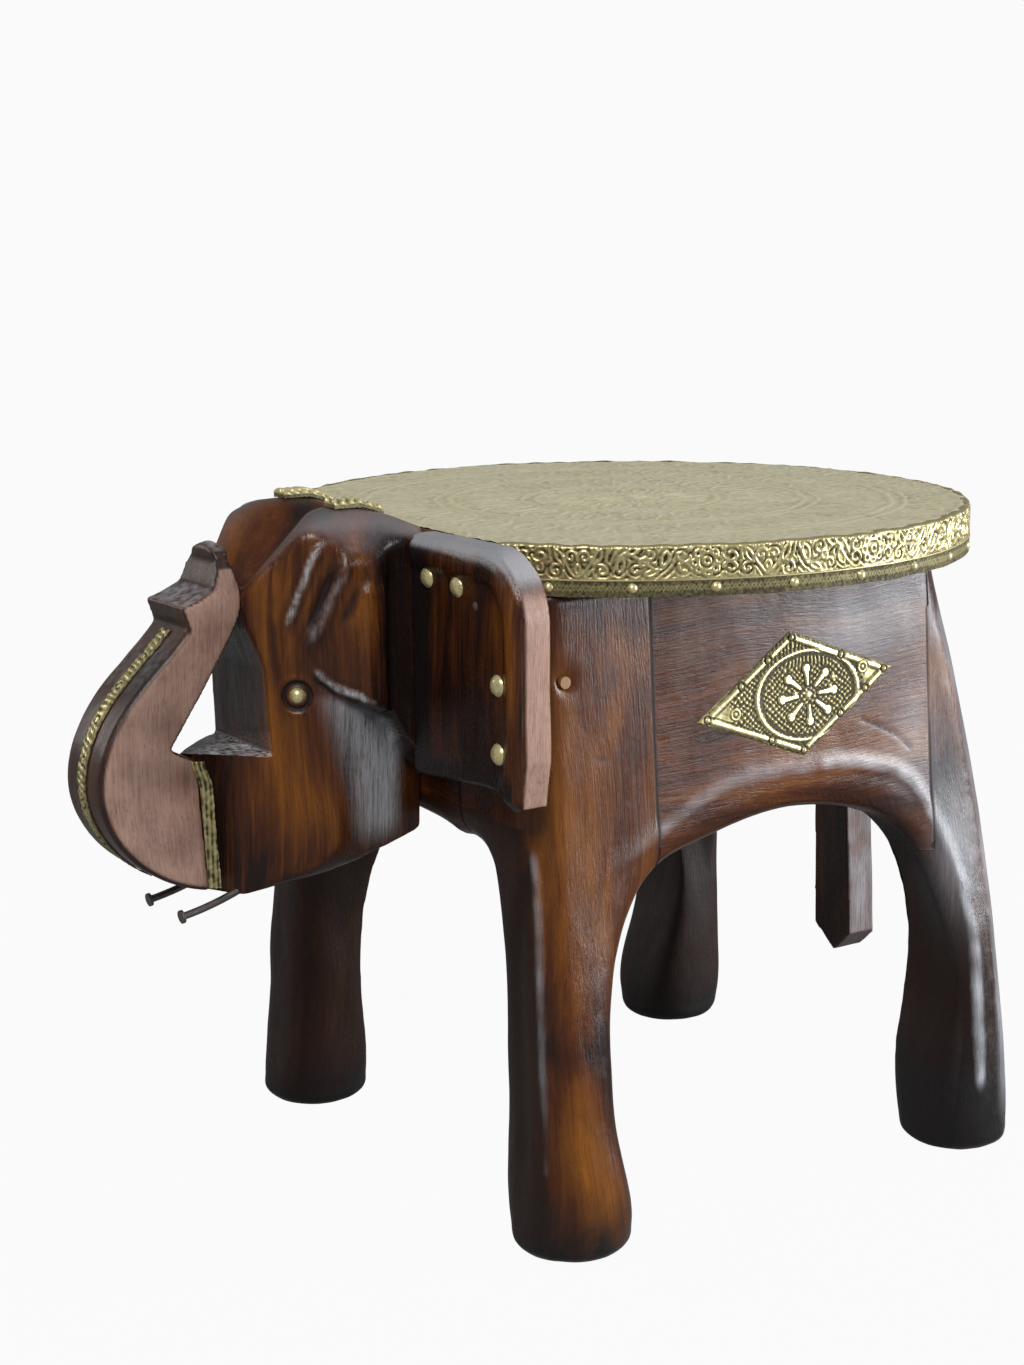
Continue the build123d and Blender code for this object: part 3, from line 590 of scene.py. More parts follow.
# Where the body's lacquer is warmer or darker, as (centre, reach, amount)
BODY_PATCHES = (
    ((122, -42, 140), (24, 14, 40), 0.26), ((122, -56, 44), (18, 8, 20), 0.28),
    ((108, -60, 200), (18, 14, 36), 0.20), ((105, 25, 245), (20, 30, 16), 0.30),
    ((105, 150, 205), (25, 25, 30), 0.22), ((105, 65, 175), (25, 50, 18), 0.05),
    ((110, 30, 200), (20, 20, 20), -0.12), ((105, -20, 258), (30, 120, 10), -0.12),
    ((110, 160, 60), (40, 40, 90), -0.26), ((-110, 160, 60), (40, 40, 90), -0.15),
    ((0, -60, 200), (60, 20, 60), -0.1), ((88, -70, 90), (16, 14, 80), -0.22),
    ((-100, -50, 100), (40, 40, 90), -0.16), ((-110, 170, 90), (40, 20, 60), 0.1),
    ((112, 78, 205), (14, 22, 16), -0.08), ((120, -50, 86), (16, 13, 7), -0.3),
    ((108, 75, 171), (14, 70, 12), -0.2), ((122, -38, 70), (14, 9, 60), -0.2),
    ((122, -44, 54), (14, 12, 34), -0.14), ((-80, -45, 90), (12, 16, 70), 0.15),
    ((-120, 175, 70), (30, 12, 50), 0.12), ((112, -20, 130), (16, 20, 50), 0.06),
)
# Painted highlights on the body, where window light is reflected
BODY_PAINTED_SHEEN = (
    ((105, 98, 238), (14, 24, 15), 0.6), ((103, 128, 243), (14, 14, 14), 0.3),
    ((113, 152, 140), (16, 12, 30), 0.45), ((108, 131, 190), (14, 15, 24), 0.4),
)
# Edges, dents and scuffs of the body, with painted highlights along edges and painted shade in grooves, as
# (path, width, height, darkness, painted highlight)
BODY_STROKES = (
    (((117.7, 166, 118), (118, 173, 95), (119, 177, 70), (121, 177, 45), (124, 175, 22)), 5, 0, 0, 0.55),
    (((102.4, -63.4, 171.6), (106.3, -63.4, 144.4), (110.3, -65.5, 111.9), (114.8, -67.4, 72.2),
      (118.2, -69.1, 32.3)), 3.6, 1.0, 0, 0.36),
    (((106, -40, 150), (108.6, 10, 176), (108, 34, 183), (108, 60, 184), (108, 87, 183)), 7, 0.5, 0, 0.26),
    (((108, 70, 184), (108.4, 100, 182), (109.4, 129, 170), (113, 147, 138), (119, 157, 104),
      (122.5, 158, 74), (126, 157, 46), (128, 155, 22)), 6, 0.6, 0, 0.7),
    (((107, 100.4, 201), (107.6, 120.9, 191.1), (108.2, 129.8, 183)), 0.9, -0.35, 0.8, 0),
    (((107, -35.5, 201), (107.2, -30.5, 200)), 2.4, -0.3, 0.9, 0),
    (((103, -66.7, 168), (96, -67, 120), (100, -69, 70), (104, -70, 30)), 7, -0.9, 0.25, 0),
)
# The flank's lower edge, where short chisel cuts cross it
ARCH_EDGE = ((108, 45, 172), (108.2, 71.9, 171.4), (107.7, 95.6, 166.2), (109.3, 116.8, 161.7),
             (110.9, 132.8, 154.3))
CHISEL_PITCH = 2.7 * MM


def strokes(points, touched, paths):
    """What raises or cuts a surface along smooth paths that fade out at their ends, and how far they darken
    it, as painted shade in grooves and the own colour of cracks and scuffs, and lighten it with painted
    highlights.
    """
    cut, dark, light = np.zeros((3, len(points)))
    for path, width, height, shade, shine in paths:
        line = smooth_line(path) * MM
        from_end = np.minimum(*[np.linalg.norm(points - end, axis=1) for end in (line[0], line[-1])])
        fade = step(from_end / MM, 0, width * 2.4)
        touch = falloff(away_from(points, line), width * MM) * touched * (0.2 + 0.8 * fade)
        cut += height * MM * touch
        dark += shade * touch
        light = np.maximum(light, shine * fade * step(touch, 0.3, 1.0))
    return cut, dark, light


def soften_body(mesh):
    """Rounds the arrises, most of all on the lower legs, and leaves the top and the soles as they are."""
    points, edges = points_of(mesh), neighbours(mesh)
    z = points[:, 2] / MM
    soft = averaged(points, edges, 12)
    softer = averaged(soft, edges, 30)
    low = step(z, 80, 50) * step(z, 3, 12)
    inside = step(board_bottom / MM - z, 4, 12)
    put(mesh, points + inside[:, None] * (soft - points + low[:, None] * (softer - soft)))


def body_cuts(points):
    """How far the front arch is moved to square it at the legs, and the hind legs are slimmed inside."""
    x, y, z = half_in_mm(points)
    lift = np.interp(x, (35, 45, 60, 70, 77, 84, 90), (-7, -7, 0, 5, 8, 4, 0))
    lift *= step(y, -36, -56) * step(z, 196, 174) * step(z, 128, 150)
    return lift * MM, 7.5 * MM * step(z, 40, 140) * step(z, 176, 150) * step(y, 104, 118)


def cut_body(mesh, depth):
    """Works the body's surface with the drawknife, the gouge and the chisel."""
    points, outward = points_of(mesh), directions_of(mesh)
    flank = 1 - 0.7 * step(points[:, 2] / MM, 120, 160)
    points += outward * (flank * tool_marks(points, depth, 11))[:, None]
    lift, slim = body_cuts(points)
    points[:, 2] += lift
    inner = outward @ (0, -0.7, 0) - 0.7 * outward[:, 0] * np.sign(points[:, 0])
    points -= outward * (slim * step(inner, 0.2, 0.8))[:, None]
    put(mesh, points)

    outward = directions_of(mesh)
    cut, dark, light = strokes(points, outward[:, 0] > -0.3, BODY_STROKES)
    along = (points[:, 1] + points[:, 2] * 0.7) / CHISEL_PITCH
    ticks = falloff(away_from(points, smooth_line(ARCH_EDGE) * MM), 4.5 * MM)
    ticks *= np.clip(np.cos(along * tau), 0, 1)
    points += outward * (cut - ticks * 0.9 * MM)[:, None]
    points[:, 2] = np.clip(points[:, 2], 0, board_bottom)
    put(mesh, points)
    # The chisel cuts are darkened too, as painted shade in them.
    marked(mesh, stroke_dark=dark + ticks * 0.4, stroke_light=light)


def part_body(mesh):
    """Cuts the faces along the joints' planes."""
    planes = [((0, y, 0), (0, 1, 0)) for y in (joint_front_y, joint_rear_y)]
    planes += [((x, 0, 0), (1, 0, 0)) for x in (joint_side_x, -joint_side_x)]
    planes.append(((0, 0, leg_top), (0, 0, 1)))
    cutter = bmesh.new()
    cutter.from_mesh(mesh)
    for place, facing in planes:
        bmesh.ops.bisect_plane(cutter, geom=cutter.verts[:] + cutter.edges[:] + cutter.faces[:], dist=1e-7,
                               plane_co=place, plane_no=facing)
    cutter.to_mesh(mesh)
    cutter.free()


def shade_body(mesh, joint_gap):
    """Marks the painted shade in hollows, on the legs' shaded faces and under the seat board, the warm tones,
    the blackened feet, the painted highlights, and where the joints run.
    """
    points, outward = points_of(mesh), directions_of(mesh)
    x, y, z = points.T / MM
    dark, light = [rows_of(mesh.attributes[name].data, "value", 1)[:, 0].astype(np.float64)
                   for name in ("stroke_dark", "stroke_light")]

    # The legs' inner and front faces lie in the shade of the body and are darkened as painted shade
    inward = -outward[:, 0] * np.sign(x)
    dim = np.maximum(step(inward, 0.1, 0.7), step(outward[:, 1], -0.82, -0.95)) * (z < 176) * 0.6
    behind = step(inward * 0.5 - outward[:, 1] * 0.87, 0.15, 0.35) * (y > 110) * (z < 160) * 0.7
    hollow = hollowness(mesh, 6, 0.25 * MM) * 0.5 + np.maximum(dim, behind) + dark

    seam = seam_lines(points, joint_gap) * (1 - 0.65 * step(z, 186, 204) * (y > 100))
    hind_left = (points[:, 1] > seat_centre_y) & (x > 0)
    low = z + noise(points, 18 * MM, 21) * 9 + noise(points, 5 * MM, 22) * 3
    foot = np.clip((30 + hind_left * 30 - low) / 26, 0, 1)
    # Painted shade: darker just under the seat board
    under_board = np.clip((points[:, 2] - board_bottom) / MM / 7 + 1, 0, 1) * 0.6

    # Painted highlight: the left rear corner is lightened where it catches the window's light
    corner = step(outward @ (0.6, 0.8, 0), 0.7, 0.92) * step(y, 138, 150) * (x > 60)
    corner *= step(z, 10, 34) * step(z, 250, 236) * (0.75 + noise(points, 26 * MM, 61) * 0.5)
    light = np.maximum(light * (1 + noise(points, 9 * MM, 62) * 0.8), corner * 0.8)
    none = np.zeros(len(points))
    marked(mesh, hollow=np.clip(hollow, 0, 1), endwise=none, seam=seam, faded=none,
           warmth=0.29 + warm_patches(points, BODY_PATCHES), black=np.maximum(foot, under_board),
           bloom=np.maximum(light, warm_patches(points, BODY_PAINTED_SHEEN)))


def body_block(mesh, number, node, material):
    """One block of the body: its own faces, closed at the joints, with its own grain."""
    keep = bmesh.new()
    keep.from_mesh(mesh)
    blocks = block_of(np.array([face.calc_center_median()[:] for face in keep.faces]))
    bmesh.ops.delete(keep, geom=[f for f, b in zip(keep.faces, blocks) if b != number], context="FACES")
    bmesh.ops.holes_fill(keep, edges=[edge for edge in keep.edges if edge.is_boundary], sides=0)
    keep.normal_update()
    part = bpy.data.meshes.new(node)
    keep.to_mesh(part)
    keep.free()

    # The grain runs along X in the end panels, along Y in the flanks and upright in the legs
    points = points_of(part)
    if "flank" in node:
        points = points[:, (0, 2, 1)]
    elif "panel" in node:
        points = points[:, (1, 2, 0)]
    points[:, 0] += points[:, 2] * 0.06
    marked(part, grain=points + noise(points, 60 * MM, number)[:, None] * 4 * MM + number * 1.37)
    finished(new_piece("carved_" + node, part), material, "walnut_wood", node)


class STOOL_OT_body(bpy.types.Operator):
    """Carves the eight blocks of the body: legs, flanks, chest and rump"""
    bl_idname = "stool.body"
    bl_label = "Body"

    def execute(self, context):
        carving = context.scene.stool_carving
        whole = carving_block("body", BODY_BLOCKS, carving.body_detail, 4)
        soften_body(whole.data)
        cut_body(whole.data, carving.tool_marks)
        part_body(whole.data)
        shade_body(whole.data, carving.joint_gap)
        material = lacquered_wood("body_lacquer", context.scene.stool_finish, 0.5)
        for number, node in enumerate(BODY_BLOCKS):
            body_block(whole.data, number, node, material)
        bpy.data.objects.remove(whole)
        return {"FINISHED"}


# ---------------------------------------------------------------- head, trunk, ears, tail
def carved_piece(context, node, seed, warmth, patches=(), pare=None, shape=None, shades=None, rounds=3,
                 marks=1.0, dullness=0.0):
    """One carved board from its node. pare(points, edges) cuts it back, shape(points, outward) gives the
    strokes' height, darkness and painted highlight, and shades(points, outward) where it is blackened, partly
    as painted shade, and where painted reflection and painted highlights lie on it."""
    carving = context.scene.stool_carving
    piece = carving_block("carved_" + node, (node,), carving.head_detail, rounds)
    mesh = piece.data
    if pare:
        put(mesh, pare(points_of(mesh), neighbours(mesh)))
    points, outward = points_of(mesh), directions_of(mesh)
    cut, dark, light = shape(points, outward) if shape else np.zeros((3, len(points)))
    put(mesh, points + outward * (tool_marks(points, carving.tool_marks * marks, seed) + cut)[:, None])
    points, outward = points_of(mesh), directions_of(mesh)
    black, faded, bloom = shades(points, outward)
    # Hollows and the strokes' darkness are darkened as painted shade.
    marked(mesh, hollow=np.clip(hollowness(mesh, 5, 0.25 * MM) * 0.6 + dark, 0, 1),
           seam=np.zeros(len(points)), endwise=step(np.abs(outward[:, 2]), 0.3, 0.8),
           black=black, faded=faded, bloom=np.maximum(bloom, light),
           warmth=warmth + warm_patches(points, patches),
           grain=points + noise(points, 50 * MM, seed)[:, None] * 3 * MM + seed * 0.77)
    material = lacquered_wood(node + "_lacquer", context.scene.stool_finish, dullness=dullness)
    return finished(piece, material, "walnut_wood", node)


EYE = np.array((33.0, -128.6, 225.0)) * MM
ALONG_CHEEK = np.array((0.567, 0.824, 0.0))
# Ridges and grooves of temple, brow and cheek, with painted highlights on the ridges and painted shade in the
# grooves, as (path, width, height, darkness, painted highlight)
HEAD_STROKES = (
    (((39.5, -116, 285), (36, -121.3, 280.8), (33.6, -124.8, 269.7), (31, -128.6, 259), (29.3, -131, 250)),
     3.2, 2.0, 0, 0.9),
    (((41, -114, 279), (37.7, -118.7, 263.7), (33.9, -124.3, 246.5)), 4.5, -2.0, 0.35, 0),
    (((43.4, -107.6, 281.5), (41.4, -113.4, 269.6), (37.6, -118.9, 255.7), (33.2, -125.4, 241.3)),
     4.6, 1.8, 0, 0.28),
    (((46.5, -102, 276), (44.5, -108.9, 262), (40.5, -114.5, 249)), 4.2, -1.3, 0.25, 0),
    (((34.6, -123.4, 237.5), (36.5, -120.6, 234.4), (40, -115.6, 228.8), (46, -107, 224.5), (47, -97, 220)),
     2.8, 1.2, 0, 0.75),
    (((35.6, -121.8, 231.4), (38.2, -118, 228), (40.5, -114.8, 224)), 1.9, -1.1, 0.8, 0),
    (((26, -136, 262), (27, -134.5, 240), (26.5, -135.5, 222)), 5, -0.8, 0.15, 0),
)


def head_strokes(points, outward):
    """Eye rings, brows and temple ridges of the head, the same on both sides, with painted shade in the
    grooves and painted highlights on the ridges.
    """
    place, _ = turned_over(points)
    side = outward[:, 0] * np.sign(points[:, 0]) > 0.2
    gap = place - EYE
    from_eye = np.hypot(gap @ ALONG_CHEEK, gap[:, 2]) / MM
    groove = falloff(np.abs(from_eye - 5.3), 1.7) * side
    ridge = falloff(np.abs(from_eye - 7.4), 1.8) * side
    cut, dark, light = strokes(place, side, HEAD_STROKES)
    cut += (0.5 * ridge - 1.3 * groove) * MM
    return cut, dark + groove, light * (0.8 + noise(points, 2.5 * MM, 14) * 0.9)


def above_cheek(y, z):
    """Height over the crease that runs from the eye back to the neck, in millimetres."""
    return z - np.interp(y, (-118, -107, -89, -83, -67), (227, 222, 214, 203, 190))


def pared_head(points, edges):
    """The head with its cheeks turned in to the neck, its top and jaw rounded and its chin let down."""
    y, z = points[:, 1] / MM, points[:, 2] / MM
    rounded = np.maximum(step(z, 262, 276), step(z, 176, 160)) * step(y, -70, -76) * step(y, -150, -140)
    points = points + (averaged(points, edges, 40) - points) * rounded[:, None]
    place, back = turned_over(points)
    x, y, z = place.T / MM
    place = pared(place, (40.5, -113, 200), (0.95, 0.30, -0.05), 1.3, step(above_cheek(y, z), 2, -2))
    place = pared(place, (30, -84, 294), (0.45, 0.35, 0.82), 1.5, step(x, 27, 31))
    place = pared(place, (24.5, -140, 190), (0.72, -0.69, 0), 1.2)
    sag = np.interp(y, (-168, -157, -141, -114, -92, -80, -70), (0, 2, 4.5, 5, 3.5, 6, 8))
    place[:, 2] -= sag * step(z, 188, 166) * MM
    return place * back


def head_shades(points, outward):
    """Painted shade at the neck, under the jaw and on the face behind the trunk; painted highlights on the
    cheek, crown and ledge, and painted reflection on the ledge.
    """
    x, y, z = half_in_mm(points)
    above = above_cheek(y, z)
    neck = np.where(above > 0, step(y, -97, -91) * step(z, 290, 276), step(y, -84, -72)) * 0.45
    face = step(outward[:, 1], -0.75, -0.95) * step(z, 203, 212) * 0.12
    jaw = step(outward[:, 2], -0.3, -0.75) * 0.6
    ledge = step(outward[:, 2], 0.5, 0.9) * (z < 215) * (y < -130)
    ledge *= 0.5 + noise(points, 1.8 * MM, 31) * 1.6
    cheek = step(above, 0, -5) * step(y + (z - 190) * 0.25, -116, -98)
    cheek *= step(z, 156, 172) * step(y, -76, -86)
    crown = step(outward[:, 2], 0.35, 0.85) * step(z, 262, 276) * step(x, 12, 34)
    painted_sheen = np.maximum.reduce([cheek * 1.2, crown * 0.315, ledge])
    return np.maximum.reduce([neck, face, jaw]), ledge * 0.3, painted_sheen


class STOOL_OT_head(bpy.types.Operator):
    """Carves the head with its crown, eye rings, cheeks and jaw"""
    bl_idname = "stool.head"
    bl_label = "Head"

    def execute(self, context):
        # The last three darken the face behind the trunk and the neck by the ear, as painted shade.
        patches = (((40, -112, 265), (20, 14, 22), 0.26), ((28, -134, 205), (14, 20, 34), 0.34),
                   ((36, -116, 180), (20, 20, 16), 0.26), ((46, -98, 220), (20, 16, 24), -0.10),
                   ((28, -132, 262), (8, 8, 16), 0.22), ((0, -145, 235), (34, 12, 34), -0.3),
                   ((44, -86, 235), (14, 10, 50), -0.24), ((44, -74, 190), (14, 12, 30), -0.2))
        carved_piece(context, "head", 3, 0.20, patches, pared_head, head_strokes, head_shades)
        return {"FINISHED"}


TRUNK_STAINS = (((18, -170, 192), (14, 9, 8), 0.35), ((17, -146, 238), (14, 8, 16), 0.3))


def trunk_shades(points, outward):
    """Darker on the belly; painted reflection on the sides, less where stained; painted highlight on the top.
    """
    belly = step(outward[:, 1], -0.25, -0.6) * 0.45
    stains = warm_patches(points, TRUNK_STAINS)
    side = step(np.abs(outward[:, 0]), 0.75, 0.95) * (0.9 + noise(points, 16 * MM, 77) * 0.4 - stains)
    top = step(outward[:, 2], 0.6, 0.95) * (points[:, 2] > 230 * MM)
    top *= 0.4 + noise(points, 2.5 * MM, 78) * 0.5
    return belly * (1 - np.clip(top, 0, 1)), np.maximum(side, belly * 0.12), np.clip(top, 0, 0.7)


class STOOL_OT_trunk(bpy.types.Operator):
    """Carves the raised trunk"""
    bl_idname = "stool.trunk"
    bl_label = "Trunk"

    def execute(self, context):
        patches = (((17, -172, 182), (8, 10, 10), 0.35), ((17, -158, 235), (8, 12, 20), 0.2))
        carved_piece(context, "trunk", 9, 0.22, patches, shades=trunk_shades, marks=0.7, dullness=0.1)
        return {"FINISHED"}


def pared_ear(points, edges):
    """The ear with its top edge rolled and its border worn away at the foot."""
    place, back = turned_over(points)
    x, y, z = place.T / MM
    place = pared(place, (0, -81.8, 283.2), (0, -0.66, 0.75), 1.2)
    place = pared(place, (0, -79.6, 0), (0, -1, 0), 0.3, step(z, 209, 201) * step(x, 108, 104))
    front = step(y, -78.5, -79.5)[:, None]
    return (place + (averaged(place, edges, 14) - place) * front * 0.9) * back


def ear_shades(points, outward):
    """Painted shade in the inner corner and along the recess, painted reflection on the outer edge, painted
    highlight along the rolled top.
    """
    x, _, z = half_in_mm(points)
    inner = step(x, 66, 44) * 0.9
    low = np.maximum(step(z, 215, 196) * step(x, 112, 96) * 0.7, step(z, 204, 196) * (x < 116))
    outer = step(np.abs(outward[:, 0]), 0.8, 0.97) * (x > 100) * 0.85
    roll = step(outward[:, 2], 0.3, 0.7) * step(z, 268, 280) * 0.9
    return np.maximum(inner * (1 - roll), low), outer, roll


class STOOL_OT_ears(bpy.types.Operator):
    """Carves the two ears with their raised borders"""
    bl_idname = "stool.ears"
    bl_label = "Ears"

    def execute(self, context):
        for node, side, seed in (("left_ear", 1, 31), ("right_ear", -1, 32)):
            patches = (((86 * side, -80, 248), (16, 20, 34), 0.20),
                       ((100 * side, -80, 262), (12, 20, 10), 0.15),
                       ((118 * side, -80, 245), (6, 30, 26), 0.40))
            carved_piece(context, node, seed, 0.12, patches, pared_ear, shades=ear_shades)
        return {"FINISHED"}


def tail_shades(points, outward):
    """Painted reflection and painted highlight on the left side."""
    side = step(outward[:, 0], 0.6, 0.95)
    return np.zeros(len(points)), side * 0.3, side * (0.45 + noise(points, 12 * MM, 91) * 0.4)


class STOOL_OT_tail(bpy.types.Operator):
    """Carves the faceted tail"""
    bl_idname = "stool.tail"
    bl_label = "Tail"

    def execute(self, context):
        carved_piece(context, "tail", 41, 0.10, shades=tail_shades, rounds=2, marks=0.6)
        return {"FINISHED"}


# ---------------------------------------------------------------- seat
# Raised rings of the seat's sheet as (radius, width), and its rows of petals as (inner, outer, count)
SHEET_RINGS = ((18, 1.6), (40, 1.8), (46, 1.2), (78, 1.8), (84, 1.2), (116, 1.8), (122, 1.2), (146, 1.8))
SHEET_PETALS = ((3, 17, 8), (19, 39, 12), (48, 76, 18), (86, 114, 28), (124, 144, 40))


def sheet_pattern(x, y):
    """Embossing of the seat's sheet: rows of petals with veins, and dots between them."""
    reach, turn = np.hypot(x, y) / MM, np.arctan2(y, x)
    level = np.full(len(x), 0.35)
    for radius, width in SHEET_RINGS:
        level = np.maximum(level, on_line(reach - radius, width, 1.2))
    for inner, outer, count in SHEET_PETALS:
        pitch = tau / count
        share = np.clip((reach - inner) / (outer - inner), 0, 1)
        from_vein, from_gap = [np.abs((turn / pitch + shift) % 1 - 0.5) * pitch * reach for shift in (0, 0.5)]
        bulge = np.sin(share * pi) ** 0.7 * pitch * (inner + outer) / 2 * 0.36
        outline = on_line(from_vein - bulge, 1.1, 1.2)
        vein = on_line(from_vein, 0.8, 1.1) * (share > 0.15) * (share < 0.8) * 0.9
        dot = on_line(np.hypot(from_gap, reach - inner - 0.78 * (outer - inner)), 2.0, 1.3)
        inside = (reach > inner) & (reach < outer)
        level = np.where(inside, np.maximum.reduce([level, outline, vein, dot]), level)
    return level


class STOOL_OT_seat_sheet(bpy.types.Operator):
    """Embosses the brass sheet on the seat"""
    bl_idname = "stool.seat_sheet"
    bl_label = "Seat sheet"

    def execute(self, context):
        turn = np.linspace(0, tau, 840, endpoint=False)
        to_flat = seat_flat / np.minimum(np.sin(turn), -1e-6)
        limit = np.where(np.sin(turn) * seat_radius < seat_flat, to_flat, seat_radius) - 1.2 * MM
        reach = np.linspace(0.004, 1, 165)[:, None] * limit[None, :]
        x, y = reach * np.cos(turn), reach * np.sin(turn)
        flat = flat_rows(x, y)
        level = sheet_pattern(*swayed(flat, 14 * MM, 1.2 * MM, 3).T)
        level = level * 0.75 + noise(flat, 2.4 * MM, 8) * 0.45 + noise(flat, 7 * MM, 9) * 0.3
        level = np.clip(level + 0.1, 0, 1)
        rise = (level - 0.8) * context.scene.stool_carving.relief * 0.8 + noise(flat, 40 * MM, 12) * 0.25 * MM
        points = np.stack([x.ravel(), y.ravel() + seat_centre_y, seat_top + rise], axis=1)
        piece = grid_piece("embossed_sheet", points.reshape(*x.shape, 3), closed=True)
        marked(piece.data, relief=level)
        # The sheet is laid brighter and paler, with less metal, partly as its grey-green patina and partly as
        # painted reflection of the bright room on its upturned face
        material = embossed_brass("sheet_brass", context.scene.stool_finish, shade=1.3, polish=0.42,
                                  contrast=0.9, shine=0.4, patina=0.64)
        finished(piece, material, "brass", "seat_sheet")
        return {"FINISHED"}


def rim_motifs():
    """Lines of three neighbouring motifs of the rim, each in a field of its own, in millimetres."""
    rosette = [ring(1.3), ring(3.4)]
    rosette += [leaf((3.3 * cos(a), 3.3 * sin(a)), (6.2 * cos(a), 5.6 * sin(a)), 2.8)
                for a in np.arange(8) * tau / 8]
    rosette += [scroll((9.5, 2.6), pi, 0.9, 3.2, 0.8), scroll((9.5, -2.8), -pi, -0.9, 3.0, 0.8),
                scroll((-9.5, 2.6), 0, -0.9, 3.2, 0.8), scroll((-9.5, -2.8), 0, 0.9, 3.0, 0.8)]
    heart = [smooth_line(((-5.4, 2.0), (-4.2, -1.6), (0, -5.6), (4.2, -1.6), (5.4, 2.0))),
             leaf((0, -0.6), (0, -4.4), 2.0)]
    for side, start, spiral in ((-1, 0, 1.2), (1, pi, 1.9)):
        heart += [scroll((2.6 * side, 2.2), start + 0.4 * side, -1.1 * side, 2.7, 0.7),
                  leaf((9.6 * side, 5.2), (6.0 * side, -1.2), 2.6),
                  scroll((9.0 * side, -3.6), spiral, -0.9 * side, 2.6, 0.6)]
    vine = [smooth_line(((-12, -4), (-7, 3.6), (0, 0), (7, -3.6), (12, 4))), ring(1.5)]
    for side in (-1, 1):
        vine += [leaf((6.5 * side, -3.4 * side), (1.0 * side, -5.6 * side), 2.4),
                 leaf((7.5 * side, -2.0 * side), (9.8 * side, 4.4 * side), 3.0),
                 scroll((2.6 * side, 3.4 * side), 0.6 + (side > 0) * pi, 0.9, 2.3, 0.5)]
    return rosette, heart, vine


# Width of a motif's field in millimetres, and the lip over the sheet as (inward, up) from the band's top
MOTIF_WIDTH = 25.0
LIP = ((0.15, 0.55), (0.6, 0.95), (1.2, 1.25), (2.2, 1.30), (3.4, 1.15))


def rim_path(count):
    """Angles, outward directions and places round the seat's edge, from one end of the flat to the other."""
    corner = np.arcsin(seat_flat / seat_radius)
    turn = np.linspace(corner, pi - corner, count)
    outward = np.stack([np.cos(turn), np.sin(turn), np.zeros(count)], axis=1)
    return turn, outward, outward * seat_radius + np.array((0, seat_centre_y, 0))


class STOOL_OT_rim_band(bpy.types.Operator):
    """Embosses the band round the seat's edge, its lip folded over the sheet"""
    bl_idname = "stool.rim_band"
    bl_label = "Rim band"

    def execute(self, context):
        turn, outward, path = rim_path(2000)
        height = np.linspace(trim_top - 0.5 * MM, seat_top - 1.2 * MM, 34)
        u, v = np.meshgrid(turn * seat_radius / MM, (height - (trim_top + seat_top) / 2) / MM)
        flat = flat_rows(u, v)
        bent = swayed(flat, 9.0, 0.9, 1)
        field = np.floor(bent[:, 0] / MOTIF_WIDTH).astype(int)
        local = np.stack([(bent[:, 0] % MOTIF_WIDTH) - MOTIF_WIDTH / 2, bent[:, 1] * 1.02], axis=1)
        local[field % 2 == 1, 0] *= -1
        level = np.zeros(len(flat))
        for number, lines in enumerate(rim_motifs()):
            chosen = field % 3 == number
            level[chosen] = ridges(local[chosen], lines, 1.3, 2.1)
        ground = np.clip(noise(flat, 2.6, 6) * 0.5 + 0.25, 0, 0.55)
        border = np.clip((np.abs(v.ravel()) - 5.6) / 0.5, 0, 1) * (0.5 + noise(flat, 4.0, 19) * 0.4)
        level = np.maximum.reduce([level, ground, border])
        level = np.clip(level + noise(flat, 1.4, 7) * 0.2 + noise(flat, 11.0, 17) * 0.15, 0, 1)
        rise = (level - 0.75) * context.scene.stool_carving.relief + noise(flat, 38.0, 13) * 0.35 * MM
        wall = path[None] + outward[None] * rise.reshape(*u.shape, 1)
        crimp = noise(flat, 9.0, 15).reshape(u.shape) * 0.55 * MM
        wall[..., 2] = height[:, None] + np.where(v > 5, crimp, 0)
        lip = [wall[-1] - outward * inward * MM + np.array((0, 0, up)) * MM for inward, up in LIP]
        piece = grid_piece("embossed_band", np.concatenate([wall, lip]))
        lip_level = 0.75 + noise(np.tile(flat[:len(turn)], (len(LIP), 1)), 4.0, 16) * 0.25
        marked(piece.data, relief=np.concatenate([level, lip_level]))
        finished(piece, embossed_brass("band_brass", context.scene.stool_finish), "brass", "rim_band")
        return {"FINISHED"}


class STOOL_OT_trim(bpy.types.Operator):
    """Embosses the dark trim strip below the rim band"""
    bl_idname = "stool.trim"
    bl_label = "Trim strip"

    def execute(self, context):
        turn, outward, path = rim_path(1800)
        u, v = np.meshgrid(turn * seat_radius / MM, np.linspace(0, 1, 17))
        flat = flat_rows(u, v * 7)
        zigzag = np.abs(((u / 3.0) % 1) * 2 - 1) * 0.3 + 0.34
        lines = [on_line(v - line, 0.06) * 0.24 for line in (zigzag, 1 - zigzag)]
        level = np.maximum.reduce([*lines, on_line(v - 0.93, 0.05, 1.2)]).ravel()
        level = np.clip(level + noise(flat, 1.5, 3) * 0.12 + 0.2, 0, 1)
        rise = (level - 0.5) * 0.4 * MM + noise(flat, 24.0, 6) * 0.25 * MM
        strip = path[None] + outward[None] * rise.reshape(*u.shape, 1)
        low = board_bottom + noise(flat[:len(turn)], 15.0, 5) * 0.45 * MM
        strip[..., 2] = low[None] + v * (trim_top - low)[None]
        piece = grid_piece("trim_strip", strip)
        marked(piece.data, relief=level)
        material = embossed_brass("trim_brass", context.scene.stool_finish, shade=0.8, polish=0.42, shine=0.7)
        finished(piece, material, "dark_brass", "rim_trim")
        return {"FINISHED"}


